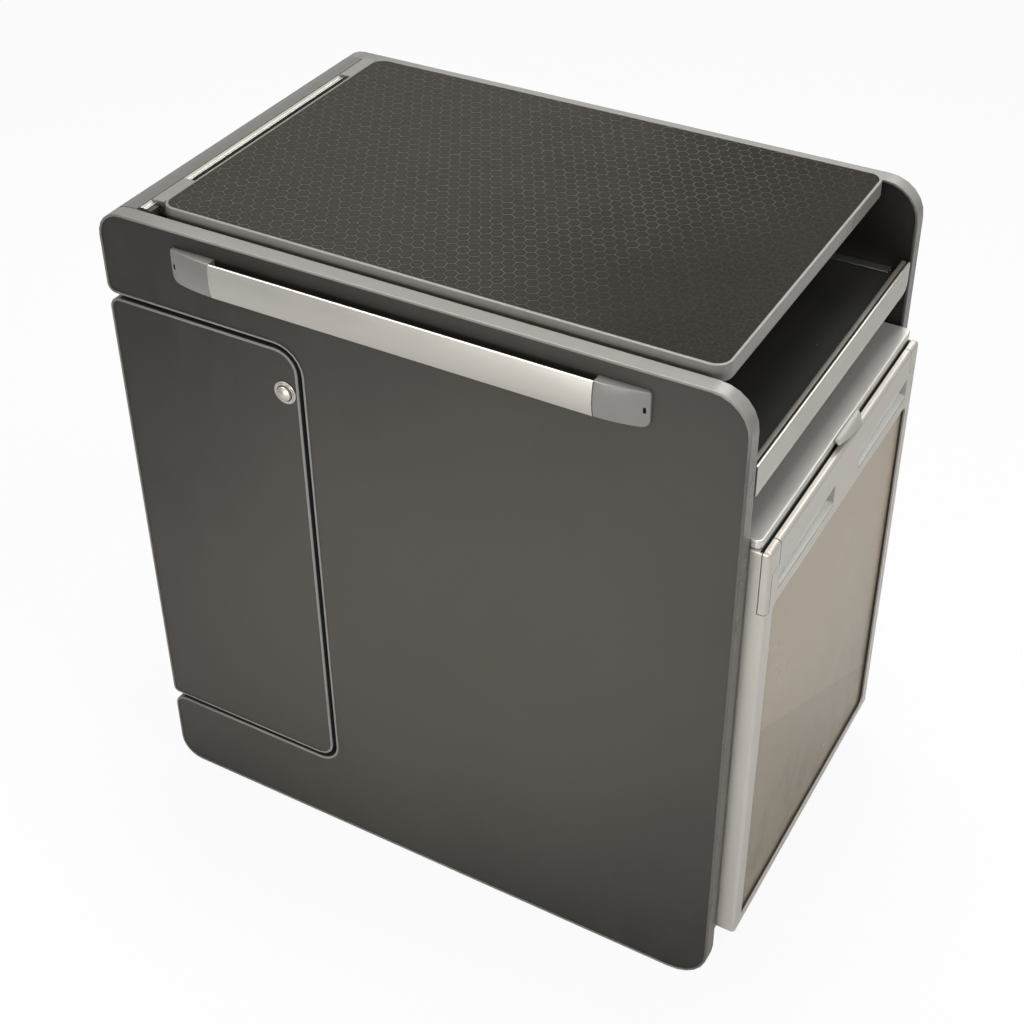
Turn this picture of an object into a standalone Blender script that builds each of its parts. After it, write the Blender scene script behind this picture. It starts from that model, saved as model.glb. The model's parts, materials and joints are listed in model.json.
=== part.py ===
"""Campervan kitchen pod: carcass, hinged worktop, sink, hob, slide-out board, cabinet door and fridge."""
import math

import bmesh
import bpy
from mathutils import Vector

# Carcass boards and their push-on edge trim, metres
BOARD = 0.015
PANEL_LENGTH = 0.6634
PANEL_HEIGHT = 0.7184
POD_DEPTH = 0.417
TRIM_WALL = 0.0015
TRIM_LIP = 0.001
TRIM_LAP = 0.0012
TRIM_ROUND = 0.0022
SEAT = 0.0003
OVERRUN = 0.004
ARC_STEPS = 6

# Corner radii of the side panels
PANEL_TOP_LEFT_RADIUS = 0.027
PANEL_TOP_RIGHT_RADIUS = 0.036
PANEL_LOW_RIGHT_RADIUS = 0.040
PANEL_LOW_LEFT_RADIUS = 0.024

# Door opening in the front panel and the door in it
OPENING_RIGHT = 0.224
OPENING_LOW = 0.0926
OPENING_DROP = 0.0879
OPENING_UPPER_TIP_RADIUS = 0.008
OPENING_LOWER_TIP_RADIUS = 0.014
DOOR_GAP = 0.005
DOOR_UPPER_LEFT_RADIUS = 0.011
DOOR_LOWER_LEFT_RADIUS = 0.005
DOOR_UPPER_RADIUS = 0.022
DOOR_LOWER_RADIUS = 0.018

# Inner boards
FLOOR_LIFT = 0.018
THIN_BOARD = 0.012
PARTITION_LEFT = 0.240
DECK_SETBACK = 0.0572
FLOOR_SETBACK = 0.0134

# Rounded top rail of the left end
TOP_RAIL_DEPTH = 0.0299
TOP_RAIL_RIGHT = 0.034

# Hinge rail with its round bead and the two hinge blocks
HINGE_X = 0.040
HINGE_DROP = 0.0015
BEAD_RADIUS = 0.0023
WEB_THICKNESS = 0.0016
RAIL_FOOT_DROP = 0.0184
HINGE_RAIL_GAP = 0.006
BLOCK_PLAY = 0.00015
KNUCKLE_START_DEGREES = -60
KNUCKLE_END_DEGREES = 140
BLOCK_RADIUS = 0.0052
BLOCK_LENGTH = 0.048
BLOCK_FRONT_GAP = 0.020
BLOCK_END_GAP = 0.001
BLOCK_LEG_WIDTH = 0.005
BLOCK_LEG_REACH = 0.0115
BLOCK_PLATE = 0.003
TONGUE_THICKNESS = 0.004
TONGUE_REACH = 0.056

# Worktop lid
LID_LEFT_REACH = 0.0192
LID_RIGHT_SETBACK = 0.0342
LID_RISE = 0.008
LID_SIDE_GAP = 0.005
LID_RADIUS = 0.014

# Grab rail on the front
RAIL_INSET = 0.0862
RAIL_DROP = 0.0167
RAIL_HEIGHT = 0.0355
RAIL_DEPTH = 0.0105
RAIL_BULGE = 0.0025
RAIL_WALL = 0.002
CAP_LENGTH = 0.049
CAP_OUTER_DEPTH = 0.003
CAP_CORNER_RADIUS = 0.007
CAP_SLOT_WIDTH = 0.004
CAP_SLOT_HEIGHT = 0.0055
CAP_SLOT_INSET = 0.003
CAP_SLOT_DEPTH = 0.001
CAP_STATIONS = 7

# Cabinet door lock and hinges
LOCK_INSET = 0.0145
LOCK_DROP = 0.046
LOCK_RING_RADIUS = 0.0122
LOCK_RING_HEIGHT = 0.0022
LOCK_BUTTON_RADIUS = 0.0080
LOCK_BUTTON_HEIGHT = 0.0060
LOCK_CROWN = 0.0018
LOCK_STEM_RADIUS = 0.0060
LOCK_TRAVEL = 0.004
LOCK_PLAY = 0.0004
LOCK_CASE_HEIGHT = 0.050
LOCK_CASE_DEPTH = 0.018
LOCK_CASE_LEFT = 0.015
BOLT_LENGTH = 0.022
BOLT_HEIGHT = 0.011
BOLT_THICKNESS = 0.006
BOLT_RISE = 0.014
DOOR_HINGE_RADIUS = 0.0030
DOOR_HINGE_PIN_RADIUS = 0.0015
DOOR_HINGE_LENGTH = 0.060
DOOR_HINGE_INSET = 0.070
HINGE_BORE_PLAY = 0.00008
LEAF_THICKNESS = 0.0015
LEAF_WIDTH = 0.022

# Slide-out board and its front
SLIDE_REAR_GAP = 0.048
SLIDE_HEADROOM = 0.0049
SLIDE_STRIP_SETBACK = 0.0074
SLIDE_STRIP_THICKNESS = 0.0045
SLIDE_FRONT_RISE = 0.0154
SLIDE_FRONT_HEIGHT = 0.0313
SLIDE_FRONT_REACH = 0.0013
SLIDE_FRONT_WALL = 0.0025
SLIDE_FRONT_RADIUS = 0.012
SLIDE_FRONT_LEG = 0.012
RUNNER_SETBACK = 0.011
RUNNER_WALL = 0.0015
RUNNER_SHELF = 0.012
RUNNER_CAP = 0.006
RUNNER_PLAY = 0.0003

# Sink, drain and tap
SINK_LEFT = 0.062
SINK_WIDTH = 0.160
TAP_ROOM = 0.0804
SINK_RIM = 0.010
SINK_WALL = 0.0012
SINK_DEPTH = 0.105
SINK_RADIUS = 0.022
SINK_END_GAP = 0.016
DRAIN_RADIUS = 0.018
DRAIN_PIPE_RADIUS = 0.011
DRAIN_WALL = 0.0015
TAP_RADIUS = 0.016
TAP_HEIGHT = 0.024
TAP_TAIL_RADIUS = 0.005
TAP_SPOUT_RADIUS = 0.007
TAP_SPOUT_LENGTH = 0.120
TAP_NOSE_DROP = 0.016
TAP_BEND_RADIUS = 0.010
TAP_INSET = 0.030

# Hob
HOB_SIDE_GAP = 0.040
HOB_WIDTH = 0.270
HOB_END_GAP = 0.0432
HOB_HEIGHT = 0.022
HOB_WALL = 0.0015
HOB_RADIUS = 0.024
HOB_RIM = 0.008
HOB_DISH = 0.008
HOB_SLOPE = 0.011
BURNER_RADIUS = 0.034
BURNER_HEIGHT = 0.016
BURNER_STEP = 0.006
SUPPORT_RADIUS = 0.085
SUPPORT_ROD = 0.005
SUPPORT_HEIGHT = 0.030
SUPPORT_ARM = 0.055
SUPPORT_ARMS = 4
HOB_KNOB_RADIUS = 0.017
HOB_KNOB_HEIGHT = 0.020
HOB_KNOB_EDGE = 0.002
HOB_KNOB_BAR = 0.006
HOB_KNOB_INSET = 0.036

# Water cans
CAN_WIDTH = 0.190
CAN_HEIGHT = 0.300
CAN_RADIUS = 0.018
CAN_EDGE = 0.008
CAN_NECK_RADIUS = 0.020
CAN_NECK_HEIGHT = 0.018
CAN_WALL = 0.004
CAN_SIDE_GAP = 0.010

# Fridge
FRIDGE_BACK_GAP = 0.010
FRIDGE_SETBACK = 0.0074
FRIDGE_SIDE_GAP = 0.0045
FRIDGE_WALL = 0.028
FRIDGE_HEADROOM = 0.043
FRIDGE_LID_THICKNESS = 0.0087
FRIDGE_LID_REACH = 0.0186
FRIDGE_LID_RADIUS = 0.006
MACHINE_DEPTH = 0.110
MACHINE_HEIGHT = 0.150
LINER_WALL = 0.002
FRIDGE_DOOR_SIDE_GAP = 0.003
FRIDGE_DOOR_LIFT = 0.0312
FRIDGE_DOOR_REACH = 0.0282
FRIDGE_DOOR_THICKNESS = 0.0230
FRIDGE_DOOR_TOP_GAP = 0.0013
FRIDGE_DOOR_ROUND = 0.005
FRIDGE_DOOR_RADIUS = 0.0065
INSERT_SIDE = 0.017
INSERT_LOW = 0.012
INSERT_DROP = 0.0697
INSERT_RECESS = 0.0035
INSERT_THICKNESS = 0.002
INSERT_RADIUS = 0.009
GRIP_NEAR = 0.0245
GRIP_BRIDGE = 0.065
GRIP_DROP = 0.054
GRIP_HEIGHT = 0.0275
GRIP_DEEP = 0.011
GRIP_SHALLOW = 0.0015
COVER_WIDTH = 0.022
COVER_DEPTH = 0.008
COVER_GAP = 0.0008
FRIDGE_HINGE_INSET = 0.010
FRIDGE_HINGE_BACK = 0.0128
FRIDGE_PIN_RADIUS = 0.0018
FRIDGE_PIN_LENGTH = 0.010
HINGE_PLATE = 0.003
GASKET_WIDTH = 0.012
GASKET_INSET = 0.016
DOOR_LINER_DEPTH = 0.040
DOOR_LINER_WALL = 0.003
DOOR_LINER_INSET = 0.050
RACK_RAIL = 0.030
LATCH_SHIFT = 0.0035
LATCH_LENGTH = 0.058
LATCH_PLAY = 0.0004
LATCH_WALL = 0.0022
LATCH_SKIRT = 0.008
EVAPORATOR_HEIGHT = 0.100
EVAPORATOR_WALL = 0.002
SHELF_THICKNESS = 0.004
SHELF_HEIGHT = 0.230
COMPRESSOR_RADIUS = 0.044
COMPRESSOR_HEIGHT = 0.115
COMPRESSOR_SIDE_GAP = 0.044
CONDENSER_SIZE = 0.100
CONDENSER_THICKNESS = 0.024
CONDENSER_FRAME = 0.004
FIN_COUNT = 9
FIN_THICKNESS = 0.0012
FAN_RADIUS = 0.042
FAN_HUB_RADIUS = 0.014
FAN_SPINDLE_RADIUS = 0.003
FAN_DEPTH = 0.014
FAN_BLADES = 5

# Places that follow from the sizes above
PANEL_LOW = TRIM_WALL
PANEL_TOP = PANEL_LOW + PANEL_HEIGHT
INNER_FRONT = BOARD + SEAT
INNER_BACK = POD_DEPTH - BOARD - SEAT
LIP_FRONT = BOARD + TRIM_LIP
LIP_BACK = POD_DEPTH - BOARD - TRIM_LIP
MID_Y = POD_DEPTH / 2
FLOOR_TOP = PANEL_LOW + FLOOR_LIFT + BOARD
END_PANEL_LEFT = TRIM_LAP + SEAT
END_PANEL_RIGHT = END_PANEL_LEFT + BOARD
DOOR_STEP = DOOR_GAP + 2 * TRIM_WALL
DOOR_LOW = OPENING_LOW + DOOR_STEP
DOOR_RIGHT = OPENING_RIGHT - DOOR_STEP
DOOR_BACK = BOARD + TRIM_LIP
LID_TOP = PANEL_TOP + TRIM_WALL + LID_RISE - TRIM_LIP
LID_LOW = LID_TOP - BOARD
LID_FRONT = LIP_FRONT + LID_SIDE_GAP + TRIM_WALL
LID_BACK = POD_DEPTH - LID_FRONT
RAIL_MID = PANEL_LENGTH / 2
RAIL_LENGTH = PANEL_LENGTH - 2 * RAIL_INSET
DOOR_HINGE_X = -TRIM_WALL - DOOR_HINGE_RADIUS
DOOR_HINGE_Y = DOOR_BACK + DOOR_HINGE_RADIUS
FRIDGE_Y_LOW = LIP_FRONT + FRIDGE_SIDE_GAP
FRIDGE_Y_HIGH = POD_DEPTH - FRIDGE_Y_LOW
FRIDGE_LOW = FLOOR_TOP + SEAT
FRIDGE_DOOR_NEAR = LIP_FRONT + FRIDGE_DOOR_SIDE_GAP
FRIDGE_DOOR_FAR = POD_DEPTH - FRIDGE_DOOR_NEAR
FRIDGE_HINGE_Y = FRIDGE_DOOR_FAR - FRIDGE_HINGE_INSET
X_LOW = DOOR_HINGE_X - DOOR_HINGE_RADIUS
Y_LOW = -RAIL_DEPTH - RAIL_BULGE
Y_HIGH = POD_DEPTH + TRIM_LIP
OPENING_HIGH = PANEL_TOP - OPENING_DROP
TOP_RAIL_LOW = PANEL_TOP - TOP_RAIL_DEPTH
HINGE_Z = PANEL_TOP - HINGE_DROP
RAIL_FOOT_LOW = HINGE_Z - RAIL_FOOT_DROP
HINGE_RAIL_FRONT = LIP_FRONT + HINGE_RAIL_GAP
BLOCK_FRONT_START = LIP_FRONT + BLOCK_FRONT_GAP
BLOCK_REAR_END = LIP_BACK - BLOCK_END_GAP
BLOCK_LEG_RIGHT = HINGE_X + BLOCK_LEG_REACH
TONGUE_RIGHT = HINGE_X + TONGUE_REACH
LID_LEFT = HINGE_X + LID_LEFT_REACH
LID_RIGHT = PANEL_LENGTH - LID_RIGHT_SETBACK
DECK_RIGHT = LID_RIGHT - DECK_SETBACK
FLOOR_RIGHT = PANEL_LENGTH - FLOOR_SETBACK
RAIL_TOP = PANEL_TOP - RAIL_DROP
LOCK_X = DOOR_RIGHT - LOCK_INSET
SLIDE_STRIP_LEFT = PANEL_LENGTH - SLIDE_STRIP_SETBACK
SLIDE_FRONT_FACE = PANEL_LENGTH + SLIDE_FRONT_REACH
RUNNER_RIGHT = SLIDE_STRIP_LEFT - RUNNER_SETBACK
SLIDE_BOARD_LEFT = PARTITION_LEFT + THIN_BOARD + SLIDE_REAR_GAP
SINK_LENGTH = INNER_BACK - TAP_ROOM - INNER_FRONT - SINK_END_GAP
HOB_LENGTH = INNER_BACK - INNER_FRONT - 2 * HOB_END_GAP
CAN_LENGTH = (INNER_BACK - LIP_FRONT - LOCK_CASE_DEPTH - 3 * CAN_SIDE_GAP) / 2
FRIDGE_BACK = PARTITION_LEFT + THIN_BOARD + FRIDGE_BACK_GAP
FRIDGE_FRONT = PANEL_LENGTH - FRIDGE_SETBACK
FRIDGE_LID_FRONT = FRIDGE_FRONT + FRIDGE_LID_REACH
FRIDGE_DOOR_LOW = FLOOR_TOP + FRIDGE_DOOR_LIFT
FRIDGE_DOOR_FACE = FRIDGE_FRONT + FRIDGE_DOOR_REACH
LATCH_START = MID_Y + LATCH_SHIFT - LATCH_LENGTH / 2
GRIP_LENGTH = (FRIDGE_DOOR_FAR - FRIDGE_DOOR_NEAR - 2 * GRIP_NEAR - GRIP_BRIDGE) / 2
GRIP_PITCH = GRIP_LENGTH + GRIP_BRIDGE
HOB_LEFT = SINK_LEFT + SINK_WIDTH + HOB_SIDE_GAP
DECK_LOW = OPENING_HIGH + TRIM_LAP + SEAT
DECK_TOP = DECK_LOW + THIN_BOARD
DOOR_HIGH = OPENING_HIGH - DOOR_STEP
RAIL_LOW = RAIL_TOP - RAIL_HEIGHT
FRIDGE_DOOR_BACK = FRIDGE_DOOR_FACE - FRIDGE_DOOR_THICKNESS
GASKET_THICKNESS = FRIDGE_DOOR_BACK - FRIDGE_FRONT - 2 * SEAT
FRIDGE_HINGE_X = FRIDGE_DOOR_FACE - FRIDGE_HINGE_BACK
X_HIGH = FRIDGE_DOOR_FACE + LATCH_PLAY / 2 + LATCH_WALL
ORIGIN = Vector(((X_LOW + X_HIGH) / 2, (Y_LOW + Y_HIGH) / 2, 0))
LOCK_Z = DOOR_HIGH - LOCK_DROP
SLIDE_BOARD_TOP = DECK_LOW - SLIDE_HEADROOM
SLIDE_FRONT_TOP = SLIDE_BOARD_TOP + SLIDE_FRONT_RISE
SLIDE_FRONT_LOW = SLIDE_FRONT_TOP - SLIDE_FRONT_HEIGHT
FRIDGE_LID_TOP = SLIDE_FRONT_LOW - FRIDGE_HEADROOM
FRIDGE_LID_LOW = FRIDGE_LID_TOP - FRIDGE_LID_THICKNESS
FRIDGE_HIGH = FRIDGE_LID_LOW - SEAT
FRIDGE_DOOR_TOP = FRIDGE_LID_LOW - FRIDGE_DOOR_TOP_GAP
INSERT_TOP = FRIDGE_DOOR_TOP - INSERT_DROP
GRIP_LOW = FRIDGE_DOOR_TOP - GRIP_DROP
COVER_LOW = INSERT_TOP + COVER_GAP

PALETTE = {
    "graphite": ((0.060, 0.058, 0.054), 0.55, 0.0),
    "trim_grey": ((0.300, 0.295, 0.280), 0.38, 0.2),
    "black": ((0.010, 0.010, 0.009), 0.70, 0.0),
    "worktop": ((0.055, 0.050, 0.045), 0.45, 0.0),
    "aluminium": ((0.620, 0.600, 0.560), 0.32, 1.0),
    "champagne": ((0.600, 0.560, 0.500), 0.34, 0.9),
    "grey_plastic": ((0.300, 0.295, 0.280), 0.55, 0.0),
    "nickel": ((0.620, 0.600, 0.570), 0.25, 1.0),
    "fridge_silver": ((0.480, 0.460, 0.430), 0.35, 0.6),
    "fridge_panel": ((0.360, 0.320, 0.270), 0.15, 0.1),
    "white": ((0.780, 0.780, 0.770), 0.40, 0.0),
    "rubber": ((0.050, 0.050, 0.050), 0.75, 0.0),
    "steel": ((0.560, 0.560, 0.550), 0.30, 1.0),
    "can_plastic": ((0.700, 0.720, 0.720), 0.45, 0.0),
    "iron": ((0.030, 0.030, 0.030), 0.60, 0.3),
}

PLANE_AXES = {"XZ": (0, 2, 1), "XY": (0, 1, 2), "YZ": (1, 2, 0)}


def clear_scene():
    for item in list(bpy.data.objects):
        bpy.data.objects.remove(item, do_unlink=True)


def make_material(name, look):
    colour, roughness, metallic = PALETTE[look]
    material = bpy.data.materials.new(name + "_finish")
    material.use_nodes = True
    shader = material.node_tree.nodes["Principled BSDF"]
    shader.inputs["Base Color"].default_value = (*colour, 1)
    shader.inputs["Roughness"].default_value = roughness
    shader.inputs["Metallic"].default_value = metallic
    material.diffuse_color = (*colour, 1)
    return material


def point_in(plane, a, b, level):
    first, second, third = PLANE_AXES[plane]
    place = [0, 0, 0]
    place[first] = a
    place[second] = b
    place[third] = level
    return Vector(place)


def set_smooth(shape, limit=math.radians(35)):
    for face in shape.faces:
        face.smooth = True
    for edge in shape.edges:
        edge.smooth = len(edge.link_faces) == 2 and edge.calc_face_angle(0) < limit


def make_object(name, shape, look, axis_point=None):
    base = Vector(axis_point) if axis_point else ORIGIN
    bmesh.ops.recalc_face_normals(shape, faces=shape.faces)
    set_smooth(shape)
    bmesh.ops.translate(shape, verts=shape.verts, vec=-base)
    mesh = bpy.data.meshes.new(name)
    shape.to_mesh(mesh)
    shape.free()
    item = bpy.data.objects.new(name, mesh)
    bpy.context.scene.collection.objects.link(item)
    item.location = base - ORIGIN
    if look:
        mesh.materials.append(make_material(name, look))
    return item


def cutter(name, shape, axis_point=None):
    item = make_object(name, shape, None, axis_point)
    item.hide_render = True
    item.display_type = "WIRE"
    return item


def apply_boolean(target, tool, operation="DIFFERENCE"):
    modifier = target.modifiers.new(tool.name, "BOOLEAN")
    modifier.operation = operation
    modifier.solver = "EXACT"
    modifier.object = tool
    return modifier


def arc(centre, radius, start, end, steps=ARC_STEPS):
    points = []
    for i in range(steps + 1):
        angle = math.radians(start + (end - start) * i / steps)
        points.append((centre[0] + radius * math.cos(angle), centre[1] + radius * math.sin(angle)))
    return points


def corner_points(corners, offset=0.0, steps=ARC_STEPS):
    """Outline of a right-angled shape: each corner is (a, b, radius), listed anticlockwise."""
    points = []
    count = len(corners)
    for i, (a, b, radius) in enumerate(corners):
        here = Vector((a, b))
        before = Vector(corners[i - 1][:2])
        after = Vector(corners[(i + 1) % count][:2])
        way_in = (here - before).normalized()
        way_out = (after - here).normalized()
        normal_in = Vector((way_in.y, -way_in.x))
        normal_out = Vector((way_out.y, -way_out.x))
        if radius == 0:
            points.append(here + (normal_in + normal_out) * offset)
            continue
        turn = 1 if way_in.x * way_out.y - way_in.y * way_out.x > 0 else -1
        centre = here + (way_out - way_in) * radius
        reach = radius + turn * offset
        for k in range(steps + 1):
            angle = math.pi / 2 * k / steps
            normal = normal_in * math.cos(angle) + normal_out * math.sin(angle)
            points.append(centre + normal * (turn * reach))
    return points


def rectangle(a_low, b_low, a_high, b_high, radius=0.0):
    corners = [(a_low, b_low), (a_high, b_low), (a_high, b_high), (a_low, b_high)]
    return [(*corner, radius) for corner in corners]


def bridge(shape, first, second):
    count = len(first)
    for i in range(count):
        k = (i + 1) % count
        shape.faces.new((first[i], first[k], second[k], second[i]))


def ring_of(shape, points, plane, level):
    return [shape.verts.new(point_in(plane, p[0], p[1], level)) for p in points]


def stack(corners, levels, plane, steps=ARC_STEPS):
    """Closed solid through rings of one outline: levels are (offset, level), capped at both ends."""
    shape = bmesh.new()
    rings = [ring_of(shape, corner_points(corners, off, steps), plane, level) for off, level in levels]
    for first, second in zip(rings, rings[1:]):
        bridge(shape, first, second)
    shape.faces.new(rings[0])
    shape.faces.new(rings[-1])
    return shape


def loop_solid(corners, section, plane, steps=ARC_STEPS):
    """Closed ring that follows an outline: section is a closed list of (offset, level)."""
    shape = bmesh.new()
    rings = [ring_of(shape, corner_points(corners, off, steps), plane, level) for off, level in section]
    for i, first in enumerate(rings):
        bridge(shape, first, rings[(i + 1) % len(rings)])
    return shape


def prism(points, plane, low, high):
    shape = bmesh.new()
    first = ring_of(shape, points, plane, low)
    second = ring_of(shape, points, plane, high)
    bridge(shape, first, second)
    shape.faces.new(first)
    shape.faces.new(second)
    return shape


def block(low, high):
    outline = [(low[0], low[1]), (high[0], low[1]), (high[0], high[1]), (low[0], high[1])]
    return prism(outline, "XY", low[2], high[2])


def rounded_block(low, high, radius, edge=0.0, plane="XY", steps=ARC_STEPS):
    first, second, third = PLANE_AXES[plane]
    corners = rectangle(low[first], low[second], high[first], high[second], radius)
    if edge == 0:
        return stack(corners, [(0, low[third]), (0, high[third])], plane, steps)
    curve = arc((-edge, 0), edge, 0, 90, 2)
    lower = [(off, low[third] + edge - rise) for off, rise in reversed(curve)]
    upper = [(off, high[third] - edge + rise) for off, rise in curve]
    return stack(corners, lower + upper, plane, steps)


def turned(profile, centre, axis="Z", steps=24):
    """Solid turned about an axis: profile is (radius, height) from one end of the axis to the other."""
    shape = bmesh.new()
    plane = {"Z": "XY", "Y": "XZ", "X": "YZ"}[axis]
    first, second, third = PLANE_AXES[plane]
    rings = []
    for radius, height in profile:
        level = centre[third] + height
        if radius == 0:
            rings.append([shape.verts.new(point_in(plane, centre[first], centre[second], level))])
            continue
        points = []
        for k in range(steps):
            angle = 2 * math.pi * k / steps
            along = centre[first] + radius * math.cos(angle)
            across = centre[second] + radius * math.sin(angle)
            points.append((along, across))
        rings.append(ring_of(shape, points, plane, level))
    for lower, upper in zip(rings, rings[1:]):
        join_rings(shape, lower, upper)
    if len(rings[0]) > 1:
        shape.faces.new(rings[0])
    if len(rings[-1]) > 1:
        shape.faces.new(rings[-1])
    return shape


def join_rings(shape, lower, upper):
    if len(lower) == 1:
        for i, vert in enumerate(upper):
            shape.faces.new((lower[0], vert, upper[(i + 1) % len(upper)]))
    elif len(upper) == 1:
        for i, vert in enumerate(lower):
            shape.faces.new((upper[0], vert, lower[(i + 1) % len(lower)]))
    else:
        bridge(shape, lower, upper)


def swept_tube(path, radius, steps=12):
    """Round bar along a list of points."""
    shape = bmesh.new()
    rings = []
    points = [Vector(p) for p in path]
    side = None
    for i, point in enumerate(points):
        before = points[max(i - 1, 0)]
        after = points[min(i + 1, len(points) - 1)]
        way = (after - before).normalized()
        if side is None:
            side = way.orthogonal().normalized()
        side = (side - way * side.dot(way)).normalized()
        other = way.cross(side)
        ring = []
        for k in range(steps):
            angle = 2 * math.pi * k / steps
            spoke = side * math.cos(angle) + other * math.sin(angle)
            ring.append(shape.verts.new(point + spoke * radius))
        rings.append(ring)
    for first, second in zip(rings, rings[1:]):
        bridge(shape, first, second)
    shape.faces.new(rings[0])
    shape.faces.new(rings[-1])
    return shape


def trim_section(low, high):
    """Push-on trim round a board between two levels: rounded outer wall and a lip on each face."""
    bottom = low - TRIM_LIP
    top = high + TRIM_LIP
    centre = TRIM_WALL - TRIM_ROUND
    lower = [(a, bottom + TRIM_ROUND - b) for a, b in reversed(arc((centre, 0), TRIM_ROUND, 0, 90, 3))]
    upper = [(a, top - TRIM_ROUND + b) for a, b in arc((centre, 0), TRIM_ROUND, 0, 90, 3)]
    inner = [
        (-TRIM_LAP, top),
        (-TRIM_LAP, high + SEAT),
        (SEAT, high + SEAT),
        (SEAT, low - SEAT),
        (-TRIM_LAP, low - SEAT),
        (-TRIM_LAP, bottom),
    ]
    return lower + upper + inner


def rear_outline():
    return [
        (0, PANEL_LOW, PANEL_LOW_LEFT_RADIUS),
        (PANEL_LENGTH, PANEL_LOW, PANEL_LOW_RIGHT_RADIUS),
        (PANEL_LENGTH, PANEL_TOP, PANEL_TOP_RIGHT_RADIUS),
        (0, PANEL_TOP, PANEL_TOP_LEFT_RADIUS),
    ]


def front_outline():
    return rear_outline() + [
        (0, OPENING_HIGH, OPENING_UPPER_TIP_RADIUS),
        (OPENING_RIGHT, OPENING_HIGH, DOOR_UPPER_RADIUS + DOOR_STEP),
        (OPENING_RIGHT, OPENING_LOW, DOOR_LOWER_RADIUS + DOOR_STEP),
        (0, OPENING_LOW, OPENING_LOWER_TIP_RADIUS),
    ]


def door_outline():
    return [
        (0, DOOR_LOW, DOOR_LOWER_LEFT_RADIUS),
        (DOOR_RIGHT, DOOR_LOW, DOOR_LOWER_RADIUS),
        (DOOR_RIGHT, DOOR_HIGH, DOOR_UPPER_RADIUS),
        (0, DOOR_HIGH, DOOR_UPPER_LEFT_RADIUS),
    ]


def lid_outline():
    return rectangle(LID_LEFT, LID_FRONT, LID_RIGHT, LID_BACK, LID_RADIUS)


def build_side_panels():
    front = front_outline()
    rear = rear_outline()
    rear_start = POD_DEPTH - BOARD
    make_object("front_panel", stack(front, [(0, 0), (0, BOARD)], "XZ"), "graphite")
    make_object("front_panel_trim", loop_solid(front, trim_section(0, BOARD), "XZ"), "trim_grey")
    make_object("rear_panel", stack(rear, [(0, rear_start), (0, POD_DEPTH)], "XZ"), "graphite")
    make_object("rear_panel_trim", loop_solid(rear, trim_section(rear_start, POD_DEPTH), "XZ"), "trim_grey")


def end_panel_outline():
    """Left end board seen from the side, stepped back behind the door and the panel tips."""
    behind_door = DOOR_BACK + LEAF_THICKNESS
    low = PANEL_LOW + PANEL_LOW_LEFT_RADIUS
    step_low = OPENING_LOW - OPENING_LOWER_TIP_RADIUS - SEAT
    step_high = OPENING_HIGH + OPENING_UPPER_TIP_RADIUS + SEAT
    top = TOP_RAIL_LOW - SEAT
    return [
        (INNER_FRONT, low),
        (INNER_BACK, low),
        (INNER_BACK, top),
        (INNER_FRONT, top),
        (INNER_FRONT, step_high),
        (behind_door, step_high),
        (behind_door, step_low),
        (INNER_FRONT, step_low),
    ]


def build_inner_boards():
    make_object("end_panel", prism(end_panel_outline(), "YZ", END_PANEL_LEFT, END_PANEL_RIGHT), "graphite")
    inner_left = END_PANEL_RIGHT + SEAT
    floor_low = (inner_left, INNER_FRONT, FLOOR_TOP - BOARD)
    make_object("floor_board", block(floor_low, (FLOOR_RIGHT, INNER_BACK, FLOOR_TOP)), "black")
    side_low = (PARTITION_LEFT, INNER_FRONT, FLOOR_TOP + SEAT)
    side_high = (PARTITION_LEFT + THIN_BOARD, INNER_BACK, DECK_LOW - SEAT)
    make_object("partition", block(side_low, side_high), "black")
    board = block((inner_left, INNER_FRONT, DECK_LOW), (DECK_RIGHT, INNER_BACK, DECK_TOP))
    deck = make_object("deck", board, "black")
    low, high = sink_bowl_box()
    clear = SINK_WALL + SEAT
    hole = rounded_block(
        (low[0] - clear, low[1] - clear, DECK_LOW - OVERRUN),
        (high[0] + clear, high[1] + clear, DECK_TOP + OVERRUN),
        SINK_RADIUS + clear,
    )
    apply_boolean(deck, cutter("deck_sink_hole", hole))
    tail_radius = TAP_TAIL_RADIUS + SEAT
    tail_profile = [(tail_radius, -THIN_BOARD - OVERRUN), (tail_radius, OVERRUN)]
    tail = turned(tail_profile, tap_place(), "Z", 16)
    apply_boolean(deck, cutter("deck_tap_hole", tail))
    rest_top = LID_LOW - TRIM_LIP - SEAT
    rest_low = (DECK_RIGHT - THIN_BOARD, INNER_FRONT, DECK_TOP + SEAT)
    make_object("lid_rest", block(rest_low, (DECK_RIGHT, INNER_BACK, rest_top)), "black")


def build_top_rail():
    """Rounded rail between the side panels at the left end."""
    reach = PANEL_TOP_LEFT_RADIUS + TRIM_WALL
    centre = (PANEL_TOP_LEFT_RADIUS, PANEL_TOP - PANEL_TOP_LEFT_RADIUS)
    outer = arc(centre, reach, 180, 90, 8)
    outline = outer + [(TOP_RAIL_RIGHT, PANEL_TOP + TRIM_WALL)]
    outline += [(TOP_RAIL_RIGHT, TOP_RAIL_LOW), (-TRIM_WALL, TOP_RAIL_LOW)]
    shape = prism(outline, "XZ", LIP_FRONT + SEAT, LIP_BACK - SEAT)
    make_object("end_top_rail", shape, "trim_grey")


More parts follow.
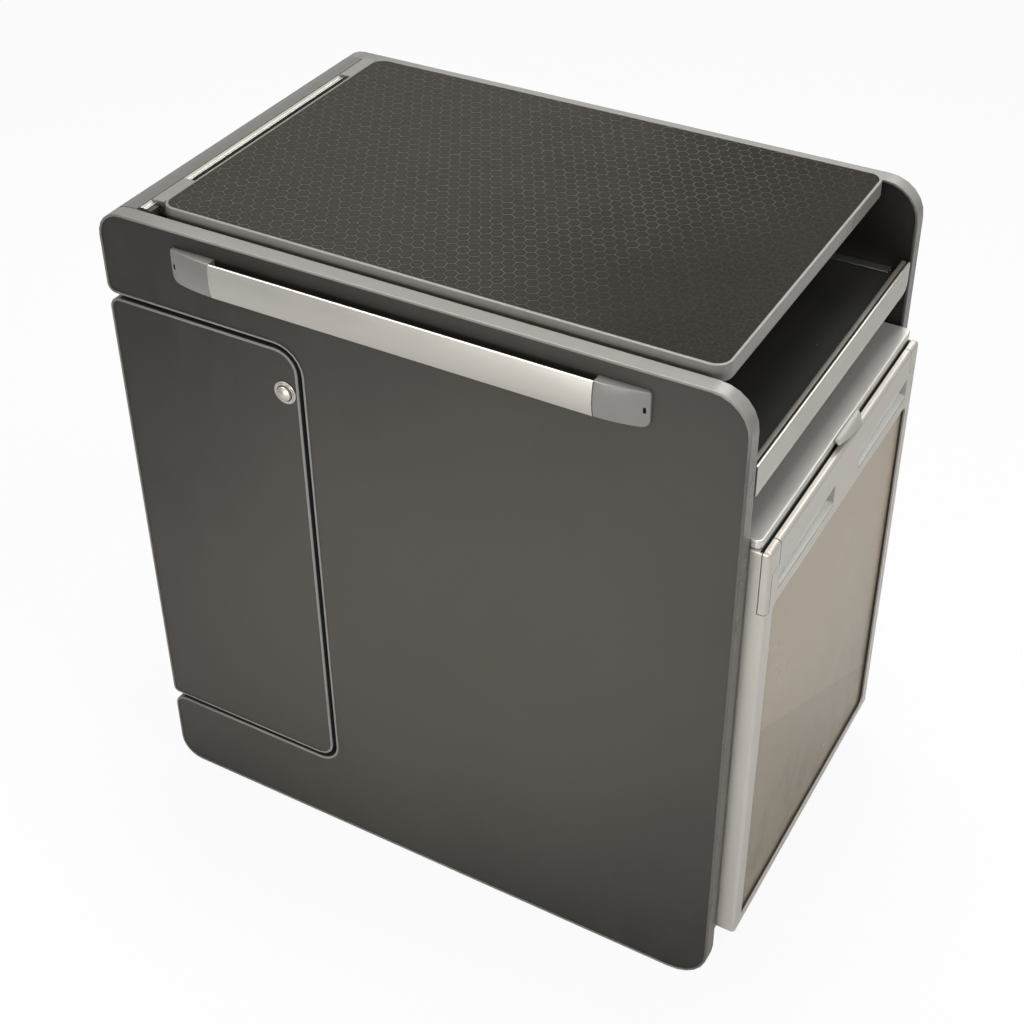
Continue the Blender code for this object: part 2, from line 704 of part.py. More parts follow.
def build_hinge_rail():
    """Fixed rail: a round bead on a thin web, with a foot against the top rail."""
    half = WEB_THICKNESS / 2
    gap_angle = math.degrees(math.asin(half / BEAD_RADIUS))
    foot_left = TOP_RAIL_RIGHT + SEAT
    bead = arc((HINGE_X, HINGE_Z), BEAD_RADIUS, 270 + gap_angle, 630 - gap_angle, 14)
    outline = bead + [
        (HINGE_X - half, RAIL_FOOT_LOW + WEB_THICKNESS),
        (foot_left + WEB_THICKNESS, RAIL_FOOT_LOW + WEB_THICKNESS),
        (foot_left + WEB_THICKNESS, HINGE_Z - 2 * BLOCK_RADIUS),
        (foot_left, HINGE_Z - 2 * BLOCK_RADIUS),
        (foot_left, RAIL_FOOT_LOW),
        (HINGE_X + half, RAIL_FOOT_LOW),
    ]
    make_object("hinge_rail", prism(outline, "XZ", HINGE_RAIL_FRONT, LIP_BACK - SEAT), "aluminium")


def block_outline():
    """Hinge block from the side: an open knuckle, a leg beside the lid and a tongue under it."""
    inner = BEAD_RADIUS + BLOCK_PLAY
    centre = (HINGE_X, HINGE_Z)
    tongue_top = LID_LOW - TRIM_LIP - SEAT
    leg_left = BLOCK_LEG_RIGHT - BLOCK_LEG_WIDTH
    outer_top = HINGE_Z + BLOCK_RADIUS
    return (
        arc(centre, inner, KNUCKLE_START_DEGREES, KNUCKLE_END_DEGREES, 9)
        + arc(centre, BLOCK_RADIUS, KNUCKLE_END_DEGREES, 90, 4)
        + [
            (BLOCK_LEG_RIGHT, outer_top),
            (BLOCK_LEG_RIGHT, tongue_top),
            (TONGUE_RIGHT, tongue_top),
            (TONGUE_RIGHT, tongue_top - TONGUE_THICKNESS),
            (leg_left, tongue_top - TONGUE_THICKNESS),
            (leg_left, outer_top - BLOCK_PLATE - BLOCK_PLAY),
            (HINGE_X + BLOCK_RADIUS, outer_top - BLOCK_PLATE - BLOCK_PLAY),
        ]
        + arc(centre, BLOCK_RADIUS, 0, KNUCKLE_START_DEGREES, 4)
    )


def build_lid():
    axis_point = (HINGE_X, MID_Y, HINGE_Z)
    outline = lid_outline()
    make_object("worktop_lid", stack(outline, [(0, LID_LOW), (0, LID_TOP)], "XY"), "worktop", axis_point)
    trim = loop_solid(outline, trim_section(LID_LOW, LID_TOP), "XY")
    make_object("worktop_trim", trim, "trim_grey", axis_point)
    starts = {"hinge_block_front": BLOCK_FRONT_START, "hinge_block_rear": BLOCK_REAR_END - BLOCK_LENGTH}
    for name, start in starts.items():
        shape = prism(block_outline(), "XZ", start, start + BLOCK_LENGTH)
        make_object(name, shape, "grey_plastic", axis_point)


def rail_arc(wall=0.0):
    """Bulged front of the grab rail as (depth, height) from foot to top, or its back inside the wall."""
    chord = RAIL_HEIGHT / 2
    radius = (chord * chord + RAIL_BULGE * RAIL_BULGE) / (2 * RAIL_BULGE)
    centre = (radius - RAIL_DEPTH - RAIL_BULGE, RAIL_LOW + chord)
    spread = math.degrees(math.asin(chord / radius))
    low_spread = math.degrees(math.asin((chord - wall) / (radius - wall)))
    return arc(centre, radius - wall, 180 + low_spread, 180 - spread)


def build_grab_rail():
    inner = rail_arc(RAIL_WALL)
    foot = [(-SEAT, RAIL_LOW + RAIL_WALL), (-SEAT, RAIL_LOW)]
    outline = rail_arc() + list(reversed(inner)) + foot
    left = RAIL_MID - RAIL_LENGTH / 2 + CAP_LENGTH
    right = RAIL_MID + RAIL_LENGTH / 2 - CAP_LENGTH
    make_object("grab_rail", prism(outline, "YZ", left + SEAT, right - SEAT), "champagne")
    build_rail_cap("rail_cap_left", -1)
    build_rail_cap("rail_cap_right", 1)


def build_rail_cap(name, side):
    """End cap: full section at the rail, sweeping back to a thin edge at its outer end."""
    inner_x = RAIL_MID + side * (RAIL_LENGTH / 2 - CAP_LENGTH)
    shape = bmesh.new()
    rings = []
    for i in range(CAP_STATIONS + 1):
        share = i / CAP_STATIONS
        depth_share = 1 - (1 - CAP_OUTER_DEPTH / RAIL_DEPTH) * share ** 2
        lift = corner_lift(CAP_LENGTH * (1 - share))
        points = [(-SEAT, RAIL_LOW + lift)]
        points += [(depth * depth_share, max(height, RAIL_LOW + lift)) for depth, height in rail_arc()]
        points.append((-SEAT, RAIL_TOP))
        rings.append(ring_of(shape, points, "YZ", inner_x + side * CAP_LENGTH * share))
    for first, second in zip(rings, rings[1:]):
        bridge(shape, first, second)
    shape.faces.new(rings[0])
    shape.faces.new(rings[-1])
    cap = make_object(name, shape, "grey_plastic")
    slot_x = inner_x + side * (CAP_LENGTH - CAP_SLOT_INSET - CAP_SLOT_WIDTH / 2)
    middle = RAIL_LOW + RAIL_HEIGHT / 2
    slot = block(
        (slot_x - CAP_SLOT_WIDTH / 2, -RAIL_DEPTH, middle - CAP_SLOT_HEIGHT / 2),
        (slot_x + CAP_SLOT_WIDTH / 2, -CAP_OUTER_DEPTH + CAP_SLOT_DEPTH, middle + CAP_SLOT_HEIGHT / 2),
    )
    apply_boolean(cap, cutter(name + "_slot", slot))


def corner_lift(left_over):
    """Height of the cap's rounded lower corner at a distance from its outer end."""
    reach = max(CAP_CORNER_RADIUS - left_over, 0)
    return CAP_CORNER_RADIUS - math.sqrt(CAP_CORNER_RADIUS ** 2 - reach ** 2)


def build_cabinet_door():
    axis_point = (DOOR_HINGE_X, DOOR_HINGE_Y, (DOOR_LOW + DOOR_HIGH) / 2)
    outline = door_outline()
    door = make_object("cabinet_door", stack(outline, [(0, 0), (0, BOARD)], "XZ"), "graphite", axis_point)
    bore = LOCK_BUTTON_RADIUS + LOCK_PLAY
    hole = turned([(bore, -OVERRUN), (bore, BOARD + OVERRUN)], (LOCK_X, 0, LOCK_Z), "Y")
    apply_boolean(door, cutter("door_lock_hole", hole, axis_point))
    trim = loop_solid(outline, trim_section(0, BOARD), "XZ")
    make_object("cabinet_door_trim", trim, "trim_grey", axis_point)
    build_lock(axis_point)
    build_door_hinges(axis_point)


def build_lock(axis_point):
    """Push lock: ring on the face, case behind the door, button through both and a sliding bolt."""
    soft = LOCK_RING_HEIGHT / 2
    inner = LOCK_BUTTON_RADIUS + LOCK_PLAY
    section = [
        (inner, -SEAT), (LOCK_RING_RADIUS, -SEAT), (LOCK_RING_RADIUS, -soft),
        (LOCK_RING_RADIUS - soft, -LOCK_RING_HEIGHT), (inner + soft, -LOCK_RING_HEIGHT), (inner, -soft),
    ]
    make_object("lock_ring", turned_shell(section, (LOCK_X, 0, LOCK_Z), "Y", 28), "nickel", axis_point)
    right = DOOR_RIGHT - TRIM_LAP - SEAT
    half = LOCK_CASE_HEIGHT / 2
    case_low = (LOCK_X - LOCK_CASE_LEFT, INNER_FRONT, LOCK_Z - half)
    case_high = (right, BOARD + LOCK_CASE_DEPTH, LOCK_Z + half)
    case = make_object("lock_case", block(case_low, case_high), "black", axis_point)
    bore = LOCK_STEM_RADIUS + LOCK_PLAY
    stem_hole = turned([(bore, -OVERRUN), (bore, 2 * LOCK_TRAVEL)], (LOCK_X, BOARD, LOCK_Z), "Y")
    apply_boolean(case, cutter("lock_case_stem_hole", stem_hole, axis_point))
    front = LIP_FRONT + 2 * LOCK_PLAY
    low = (right - BOLT_LENGTH, front, LOCK_Z + BOLT_RISE - BOLT_HEIGHT / 2)
    high = (right, front + BOLT_THICKNESS, LOCK_Z + BOLT_RISE + BOLT_HEIGHT / 2)
    room_low = tuple(v - LOCK_PLAY for v in low)
    room_high = (right + OVERRUN, high[1] + LOCK_PLAY, high[2] + LOCK_PLAY)
    apply_boolean(case, cutter("lock_case_bolt_hole", block(room_low, room_high), axis_point))
    make_object("lock_bolt", block(low, high), "steel", low)
    crown = dome(LOCK_BUTTON_RADIUS, LOCK_CROWN, 5)
    profile = [(radius, rise - LOCK_BUTTON_HEIGHT) for radius, rise in crown]
    profile += [
        (LOCK_BUTTON_RADIUS, BOARD / 2),
        (LOCK_STEM_RADIUS, BOARD / 2),
        (LOCK_STEM_RADIUS, BOARD),
    ]
    button = turned(profile, (LOCK_X, 0, LOCK_Z), "Y")
    make_object("lock_button", button, "nickel", (LOCK_X, 0, LOCK_Z))


def dome(radius, rise, steps):
    """Points of a shallow dome as (radius, depth below its crown) from the crown outward."""
    sphere = (radius * radius + rise * rise) / (2 * rise)
    spread = math.degrees(math.asin(radius / sphere))
    curve = arc((0, 0), sphere, 90, 90 - spread, steps)
    return [(a if i else 0, sphere - b) for i, (a, b) in enumerate(curve)]


def build_door_hinges(axis_point):
    heights = {"lower": DOOR_LOW + DOOR_HINGE_INSET, "upper": DOOR_HIGH - DOOR_HINGE_INSET}
    pin = (DOOR_HINGE_X, DOOR_HINGE_Y)
    for name, middle in heights.items():
        low = middle - DOOR_HINGE_LENGTH / 2
        high = middle + DOOR_HINGE_LENGTH / 2
        leaf = prism(fixed_leaf_outline(pin), "XY", low, middle - SEAT)
        fixed = make_object("door_hinge_pin_" + name, leaf, "steel")
        stub = turned([(DOOR_HINGE_PIN_RADIUS, -OVERRUN), (DOOR_HINGE_PIN_RADIUS, high - middle)],
                      (*pin, middle), "Z", 12)
        apply_boolean(fixed, cutter("door_hinge_stub_" + name, stub), "UNION")
        leaf = prism(door_leaf_outline(pin), "XY", middle, high)
        leaf = make_object("door_hinge_leaf_" + name, leaf, "steel", axis_point)
        bore_radius = DOOR_HINGE_PIN_RADIUS + HINGE_BORE_PLAY
        bore_profile = [(bore_radius, -OVERRUN), (bore_radius, high - middle + OVERRUN)]
        bore = turned(bore_profile, (*pin, middle), "Z", 12)
        apply_boolean(leaf, cutter("door_hinge_bore_" + name, bore, axis_point))


def fixed_leaf_outline(pin):
    """Barrel behind the door's edge with its leaf flat on the outside of the end panel."""
    radius = DOOR_HINGE_RADIUS
    side = END_PANEL_LEFT - SEAT
    near = pin[1] + radius - LEAF_THICKNESS
    return arc(pin, radius, 90, 390, 12) + [
        (side, near),
        (side, pin[1] + LEAF_WIDTH),
        (side - LEAF_THICKNESS, pin[1] + LEAF_WIDTH),
        (side - LEAF_THICKNESS, pin[1] + radius),
    ]


def door_leaf_outline(pin):
    """Barrel with its leaf flat on the door's trimmed edge."""
    radius = DOOR_HINGE_RADIUS
    near = -TRIM_WALL - SEAT
    far = near - LEAF_THICKNESS
    start = -math.degrees(math.acos((near - pin[0]) / radius))
    end = 360 - math.degrees(math.acos((far - pin[0]) / radius))
    return arc(pin, radius, start, end, 12) + [(far, TRIM_ROUND), (near, TRIM_ROUND)]


def build_slide_out():
    """Board that slides out over the fridge, its raised edge strip and its front."""
    board_low = SLIDE_BOARD_TOP - THIN_BOARD
    near = LIP_FRONT + LID_SIDE_GAP
    far = POD_DEPTH - near
    axis_point = (SLIDE_FRONT_FACE, MID_Y, board_low)
    board = block((SLIDE_BOARD_LEFT, near, board_low), (SLIDE_STRIP_LEFT - SEAT, far, SLIDE_BOARD_TOP))
    make_object("slide_board", board, "black", axis_point)
    strip_right = SLIDE_STRIP_LEFT + SLIDE_STRIP_THICKNESS
    strip = block((SLIDE_STRIP_LEFT, near, board_low), (strip_right, far, SLIDE_FRONT_TOP))
    make_object("slide_strip", strip, "trim_grey", axis_point)
    face = [
        (near, SLIDE_FRONT_LOW, SLIDE_FRONT_RADIUS),
        (far, SLIDE_FRONT_LOW, SLIDE_FRONT_RADIUS),
        (far, SLIDE_FRONT_TOP, SLIDE_FRONT_WALL),
        (near, SLIDE_FRONT_TOP, SLIDE_FRONT_WALL),
    ]
    back = SLIDE_FRONT_FACE - SLIDE_FRONT_WALL
    soft = SLIDE_FRONT_WALL / 2
    levels = [(0, back), (0, SLIDE_FRONT_FACE - soft)]
    levels += [(-soft / 3, SLIDE_FRONT_FACE - soft / 3), (-soft, SLIDE_FRONT_FACE)]
    front = make_object("slide_front", stack(face, levels, "YZ"), "champagne", axis_point)
    leg = block(
        (strip_right + SEAT, near + SLIDE_FRONT_RADIUS, board_low),
        (back + soft, far - SLIDE_FRONT_RADIUS, board_low + SLIDE_FRONT_LEG),
    )
    apply_boolean(front, cutter("slide_front_leg", leg, axis_point), "UNION")
    build_runners(board_low, near, far)


def build_runners(board_low, near, far):
    """Channels on the side panels that carry the sliding board's edges."""
    low = board_low - RUNNER_PLAY - RUNNER_WALL
    high = SLIDE_BOARD_TOP + RUNNER_PLAY + RUNNER_WALL
    shelf_top = board_low - RUNNER_PLAY
    cap_low = SLIDE_BOARD_TOP + RUNNER_PLAY
    sides = (("runner_front", INNER_FRONT, near, 1), ("runner_rear", INNER_BACK, far, -1))
    for name, wall, edge, way in sides:
        inner = wall + way * RUNNER_WALL
        shelf = edge + way * RUNNER_SHELF
        outline = [
            (wall, low), (shelf, low), (shelf, shelf_top), (inner, shelf_top),
            (inner, cap_low), (edge + way * RUNNER_CAP, cap_low),
            (edge + way * RUNNER_CAP, high), (wall, high),
        ]
        make_object(name, prism(outline, "YZ", SLIDE_BOARD_LEFT, RUNNER_RIGHT), "steel")


def sink_bowl_box():
    """Outside of the sink's bowl below its rim."""
    low_y = INNER_FRONT + SINK_END_GAP + SINK_RIM
    low = (SINK_LEFT + SINK_RIM, low_y, DECK_TOP - SINK_DEPTH)
    return low, (SINK_LEFT + SINK_WIDTH - SINK_RIM, low_y + SINK_LENGTH - 2 * SINK_RIM, DECK_TOP)


def build_sink():
    low, high = sink_bowl_box()
    corners = rectangle(low[0], low[1], high[0], high[1], SINK_RADIUS)
    rim_top = DECK_TOP + SEAT + SINK_WALL
    floor_round = SINK_RADIUS / 3
    levels = [
        (-floor_round, low[2]), (0, low[2] + floor_round),
        (0, DECK_TOP + SEAT), (SINK_RIM, DECK_TOP + SEAT),
        (SINK_RIM, rim_top), (-SINK_WALL, rim_top), (-SINK_WALL, low[2] + floor_round),
        (-SINK_WALL - floor_round, low[2] + SINK_WALL),
    ]
    sink = make_object("sink", stack(corners, levels, "XY"), "steel")
    centre = ((low[0] + high[0]) / 2, (low[1] + high[1]) / 2, low[2])
    hole_radius = DRAIN_RADIUS - OVERRUN
    hole = turned([(hole_radius, -OVERRUN), (hole_radius, OVERRUN)], centre)
    apply_boolean(sink, cutter("sink_hole", hole))
    neck = hole_radius - SEAT
    flange_low = SINK_WALL + SEAT
    pipe_low = can_top() - CAN_NECK_HEIGHT - low[2]
    profile = [
        (DRAIN_PIPE_RADIUS, pipe_low), (DRAIN_PIPE_RADIUS, -DRAIN_RADIUS), (neck, -DRAIN_RADIUS / 2),
        (neck, flange_low), (DRAIN_RADIUS, flange_low), (DRAIN_RADIUS, flange_low + SINK_WALL),
        (neck - DRAIN_WALL, flange_low + SINK_WALL), (neck - DRAIN_WALL, -DRAIN_RADIUS / 2 + DRAIN_WALL),
        (DRAIN_PIPE_RADIUS - DRAIN_WALL, -DRAIN_RADIUS), (DRAIN_PIPE_RADIUS - DRAIN_WALL, pipe_low),
    ]
    make_object("sink_drain", turned_shell(profile, centre), "grey_plastic")
    build_tap()


def turned_shell(profile, centre, axis="Z", steps=20):
    """Ring-shaped solid turned about an axis from a closed section."""
    plane = {"Z": "XY", "Y": "XZ", "X": "YZ"}[axis]
    first, second, third = PLANE_AXES[plane]
    shape = bmesh.new()
    rings = []
    for radius, height in profile:
        points = arc((centre[first], centre[second]), radius, 0, 360, steps)[:-1]
        rings.append(ring_of(shape, points, plane, centre[third] + height))
    for i, ring in enumerate(rings):
        bridge(shape, ring, rings[(i + 1) % len(rings)])
    return shape


def tap_place():
    low, high = sink_bowl_box()
    return (low[0] + high[0]) / 2, high[1] + SINK_RIM + TAP_INSET, DECK_TOP


def build_tap():
    """Low tap behind the bowl: a body whose tail reaches the fresh can, and a spout that swings on it."""
    x, y, deck = tap_place()
    base = deck + SEAT
    tail_low = can_top() - CAN_NECK_HEIGHT - base
    profile = [
        (TAP_TAIL_RADIUS, tail_low), (TAP_TAIL_RADIUS, 0), (TAP_RADIUS, 0),
        (TAP_RADIUS, TAP_HEIGHT - SEAT),
    ]
    make_object("tap_body", turned(profile, (x, y, base), "Z", 20), "nickel")
    top = base + TAP_HEIGHT
    soft = TAP_SPOUT_RADIUS / 2
    head_height = 2 * TAP_SPOUT_RADIUS + soft
    head = [(TAP_RADIUS, 0), (TAP_RADIUS, head_height - soft), (TAP_RADIUS - soft, head_height)]
    spout = make_object("tap_spout", turned(head, (x, y, top), "Z", 20), "nickel", (x, y, top))
    level = top + TAP_SPOUT_RADIUS + soft / 2
    nose = y - TAP_SPOUT_LENGTH
    drop = level - TAP_BEND_RADIUS
    bend = arc((nose + TAP_BEND_RADIUS, drop), TAP_BEND_RADIUS, 90, 180, 4)
    path = [(x, y, level)] + [(x, a, b) for a, b in bend] + [(x, nose, drop - TAP_NOSE_DROP)]
    arm = swept_tube(path, TAP_SPOUT_RADIUS)
    apply_boolean(spout, cutter("tap_arm", arm, (x, y, top)), "UNION")


def build_hob():
    """Spirit cooker: dished tray, fuel canister as burner, pan support and regulator knob."""
    near = MID_Y - HOB_LENGTH / 2
    low = DECK_TOP + SEAT
    high = low + HOB_HEIGHT
    corners = rectangle(HOB_LEFT, near, HOB_LEFT + HOB_WIDTH, near + HOB_LENGTH, HOB_RADIUS)
    levels = [
        (0, low), (0, high - HOB_WALL), (-HOB_WALL, high), (-HOB_RIM, high),
        (-HOB_RIM - HOB_SLOPE, high - HOB_DISH),
    ]
    make_object("hob_tray", stack(corners, levels, "XY", 4), "steel")
    floor = high - HOB_DISH + SEAT
    centre = (HOB_LEFT + (HOB_WIDTH + HOB_KNOB_INSET) / 2, MID_Y, floor)
    lip = BURNER_RADIUS - BURNER_STEP
    half = BURNER_HEIGHT / 2
    profile = [(BURNER_RADIUS, 0), (BURNER_RADIUS, half), (lip, half)]
    profile.append((lip, BURNER_HEIGHT - BURNER_STEP / 2))
    profile += [(lip - BURNER_STEP / 2, BURNER_HEIGHT)]
    make_object("hob_burner", turned(profile, centre, "Z", 28), "iron")
    build_pan_support(centre)
    build_hob_knob(floor)


def build_hob_knob(floor):
    x = HOB_LEFT + HOB_KNOB_INSET
    centre = (x, MID_Y, floor)
    grip = HOB_KNOB_RADIUS
    edge = HOB_KNOB_EDGE
    middle = HOB_KNOB_HEIGHT / 2
    profile = [(grip, 0), (grip, middle - edge), (grip - edge, middle)]
    knob = make_object("hob_knob", turned(profile, centre), "iron", centre)
    bar = block(
        (x - grip + edge, MID_Y - HOB_KNOB_BAR / 2, floor + middle - edge),
        (x + grip - edge, MID_Y + HOB_KNOB_BAR / 2, floor + HOB_KNOB_HEIGHT),
    )
    apply_boolean(knob, cutter("hob_knob_bar", bar, centre), "UNION")


def build_pan_support(centre):
    """Ring on four feet with four arms that reach in over the burner."""
    x, y, floor = centre
    ring_low = SUPPORT_HEIGHT - SUPPORT_ROD
    inner_radius = SUPPORT_RADIUS - SUPPORT_ROD
    section = [
        (SUPPORT_RADIUS, ring_low), (SUPPORT_RADIUS, SUPPORT_HEIGHT),
        (inner_radius, SUPPORT_HEIGHT), (inner_radius, ring_low),
    ]
    support = make_object("pan_support", turned_shell(section, centre, "Z", 32), "iron")
    half = SUPPORT_ROD / 2
    middle = SUPPORT_RADIUS - half
    for k in range(SUPPORT_ARMS):
        angle = 2 * math.pi * (k + 1 / 2) / SUPPORT_ARMS
        arm_plan = radial_bar((x, y), angle, middle - SUPPORT_ARM, middle, half)
        leg_plan = radial_bar((x, y), angle, middle - SUPPORT_ROD, middle - half / 2, half / 2)
        arm = prism(arm_plan, "XY", floor + ring_low + half / 2, floor + SUPPORT_HEIGHT + half / 2)
        leg = prism(leg_plan, "XY", floor, floor + ring_low + half)
        apply_boolean(support, cutter(f"pan_arm_{k}", arm), "UNION")
        apply_boolean(support, cutter(f"pan_leg_{k}", leg), "UNION")


def radial_bar(centre, angle, start, end, half_width):
    """Plan of a straight bar that points away from a centre."""
    way = Vector((math.cos(angle), math.sin(angle)))
    side = Vector((-way.y, way.x)) * half_width
    inner = Vector(centre) + way * start
    outer = Vector(centre) + way * end
    return [outer + side, inner + side, inner - side, outer - side]


def can_places():
    """Near corners of the fresh and the waste water can in the cabinet."""
    x = (END_PANEL_RIGHT + PARTITION_LEFT - CAN_WIDTH) / 2
    first = LIP_FRONT + LOCK_CASE_DEPTH + CAN_SIDE_GAP
    return {"waste_can": (x, first), "fresh_can": (x, first + CAN_LENGTH + CAN_SIDE_GAP)}


def can_top():
    return FLOOR_TOP + SEAT + CAN_HEIGHT + CAN_NECK_HEIGHT


def build_cans():
    low = FLOOR_TOP + SEAT
    bowl_low, bowl_high = sink_bowl_box()
    neck_x = (bowl_low[0] + bowl_high[0]) / 2
    necks = {"waste_can": (bowl_low[1] + bowl_high[1]) / 2, "fresh_can": tap_place()[1]}
    for name, (x, y) in can_places().items():
        high = low + CAN_HEIGHT
        far_corner = (x + CAN_WIDTH, y + CAN_LENGTH, high)
        shape = rounded_block((x, y, low), far_corner, CAN_RADIUS, CAN_EDGE, "XY", 4)
        can = make_object(name, shape, "can_plastic")
        neck_centre = (neck_x, necks[name], high)
        neck_profile = [(CAN_NECK_RADIUS, -OVERRUN), (CAN_NECK_RADIUS, CAN_NECK_HEIGHT)]
        neck = turned(neck_profile, neck_centre, "Z", 20)
        apply_boolean(can, cutter(name + "_neck", neck), "UNION")
        room = rounded_block(
            (x + CAN_WALL, y + CAN_WALL, low + CAN_WALL),
            (x + CAN_WIDTH - CAN_WALL, y + CAN_LENGTH - CAN_WALL, high - CAN_WALL),
            CAN_RADIUS - CAN_WALL, 0, "XY", 3)
        apply_boolean(can, cutter(name + "_room", room))
        mouth_radius = CAN_NECK_RADIUS - CAN_WALL
        mouth_profile = [(mouth_radius, -CAN_WALL - OVERRUN), (mouth_radius, CAN_NECK_HEIGHT + OVERRUN)]
        mouth = turned(mouth_profile, neck_centre, "Z", 20)
        apply_boolean(can, cutter(name + "_mouth", mouth))


def fridge_steps(inset, back_inset, front):
    """Side outline of the fridge body or its liner, stepped over the machine space at the back."""
    back = FRIDGE_BACK + back_inset
    low = FRIDGE_LOW + inset
    high = FRIDGE_HIGH - inset
    step_x = FRIDGE_BACK + MACHINE_DEPTH + back_inset
    step_z = FRIDGE_LOW + MACHINE_HEIGHT + inset
    return [(step_x, low), (front, low), (front, high), (back, high), (back, step_z), (step_x, step_z)]


def build_fridge_body():
    near = FRIDGE_Y_LOW
    far = FRIDGE_Y_HIGH
    wall = FRIDGE_WALL
    body = prism(fridge_steps(0, 0, FRIDGE_FRONT), "XZ", near, far)
    body = make_object("fridge_body", body, "fridge_silver")
    room = prism(fridge_steps(wall, wall, FRIDGE_FRONT + OVERRUN), "XZ", near + wall, far - wall)
    apply_boolean(body, cutter("fridge_room", room))
    inset = wall + SEAT
    shell = prism(fridge_steps(inset, inset, FRIDGE_FRONT - SEAT), "XZ", near + inset, far - inset)
    liner = make_object("fridge_liner", shell, "white")
    inner = inset + LINER_WALL
    hollow = prism(fridge_steps(inner, inner, FRIDGE_FRONT + OVERRUN), "XZ", near + inner, far - inner)
    apply_boolean(liner, cutter("fridge_liner_room", hollow))
    build_fridge_lid()
    build_fridge_inside(near + inner + SEAT, far - inner - SEAT, inner + SEAT)
    build_fridge_machine()


def build_fridge_lid():
    corners = [
        (FRIDGE_BACK, FRIDGE_DOOR_NEAR, 0),
        (FRIDGE_LID_FRONT, FRIDGE_DOOR_NEAR, FRIDGE_LID_RADIUS),
        (FRIDGE_LID_FRONT, FRIDGE_DOOR_FAR, FRIDGE_LID_RADIUS),
        (FRIDGE_BACK, FRIDGE_DOOR_FAR, 0),
    ]
    soft = FRIDGE_LID_RADIUS / 6
    levels = [(0, FRIDGE_LID_LOW), (0, FRIDGE_LID_TOP - soft)]
    levels += [(-soft / 3, FRIDGE_LID_TOP - soft / 3), (-soft, FRIDGE_LID_TOP)]
    lid = make_object("fridge_lid", stack(corners, levels, "XY"), "fridge_silver")
    centre = (FRIDGE_HINGE_X, FRIDGE_HINGE_Y, FRIDGE_LID_LOW)
    hole_radius = FRIDGE_PIN_RADIUS + SEAT
    hole = turned([(hole_radius, -OVERRUN), (hole_radius, FRIDGE_LID_THICKNESS / 2)], centre, "Z", 16)
    apply_boolean(lid, cutter("fridge_lid_hole", hole))


def build_fridge_inside(near, far, inset):
    """Cold plate box, wire-free shelf and their seats inside the liner."""
    back = FRIDGE_BACK + inset
    top = FRIDGE_HIGH - inset
    front = FRIDGE_FRONT - DOOR_LINER_DEPTH - GASKET_INSET
    low = top - EVAPORATOR_HEIGHT
    corners = rectangle(near, low, far, top)
    levels = [(0, back), (0, front), (-EVAPORATOR_WALL, front), (-EVAPORATOR_WALL, back + EVAPORATOR_WALL)]
    make_object("ice_box", stack(corners, levels, "YZ"), "aluminium")
    shelf_low = FRIDGE_LOW + SHELF_HEIGHT
    shelf = block((back, near, shelf_low), (front, far, shelf_low + SHELF_THICKNESS))
    make_object("fridge_shelf", shelf, "can_plastic")


def build_fridge_machine():
    """Compressor, condenser and fan in the space under the step."""
    base = FRIDGE_LOW
    x = FRIDGE_BACK + MACHINE_DEPTH / 2
    radius = COMPRESSOR_RADIUS
    dome = radius / 3
    curve = [(radius - dome + a, b) for a, b in arc((0, 0), dome, 0, 90, 3)]
    profile = [(radius - dome + a, dome - b) for a, b in reversed(arc((0, 0), dome, 0, 90, 3))]
    profile += [(a, COMPRESSOR_HEIGHT - dome + b) for a, b in curve]
    y = FRIDGE_Y_LOW + COMPRESSOR_SIDE_GAP + radius
    make_object("compressor", turned(profile, (x, y, base), "Z", 20), "iron")
    near = y + radius + COMPRESSOR_SIDE_GAP
    hub = (x, near + CONDENSER_THICKNESS + FAN_DEPTH, base + CONDENSER_SIZE / 2)
    build_condenser(x, near, base, hub)
    bore = FAN_SPINDLE_RADIUS + HINGE_BORE_PLAY
    rim = [
        (FAN_HUB_RADIUS, -FAN_DEPTH / 2), (FAN_HUB_RADIUS, FAN_DEPTH / 2),
        (bore, FAN_DEPTH / 2), (bore, -FAN_DEPTH / 2),
    ]
    fan = make_object("cooling_fan", turned_shell(rim, hub, "Y", 16), "black", hub)
    for k in range(FAN_BLADES):
        blade = fan_blade(hub, 2 * math.pi * k / FAN_BLADES)
        apply_boolean(fan, cutter(f"fan_blade_{k}", blade, hub), "UNION")


def build_condenser(x, near, base, hub):
    """Finned core in its frame, with the fan's spindle on a cross bar."""
    low = x - CONDENSER_SIZE / 2
    far = near + CONDENSER_THICKNESS
    corners = rectangle(low, base, low + CONDENSER_SIZE, base + CONDENSER_SIZE)
    section = [(0, near), (0, far), (-CONDENSER_FRAME, far), (-CONDENSER_FRAME, near)]
    core = make_object("condenser", loop_solid(corners, section, "XZ"), "aluminium")
    inner = low + CONDENSER_FRAME / 2
    outer = low + CONDENSER_SIZE - CONDENSER_FRAME / 2
    for k in range(FIN_COUNT):
        z = base + CONDENSER_SIZE * (k + 1) / (FIN_COUNT + 1)
        thick = FIN_THICKNESS if 2 * (k + 1) != FIN_COUNT + 1 else 2 * FAN_SPINDLE_RADIUS
        fin = block(
            (inner, near + CONDENSER_FRAME, z - thick / 2), (outer, far - CONDENSER_FRAME, z + thick / 2))
        apply_boolean(core, cutter(f"condenser_fin_{k}", fin), "UNION")
    start = far - 2 * CONDENSER_FRAME - hub[1]
    spindle = turned([(FAN_SPINDLE_RADIUS, start), (FAN_SPINDLE_RADIUS, FAN_DEPTH / 2)], hub, "Y", 12)
    apply_boolean(core, cutter("fan_spindle", spindle), "UNION")


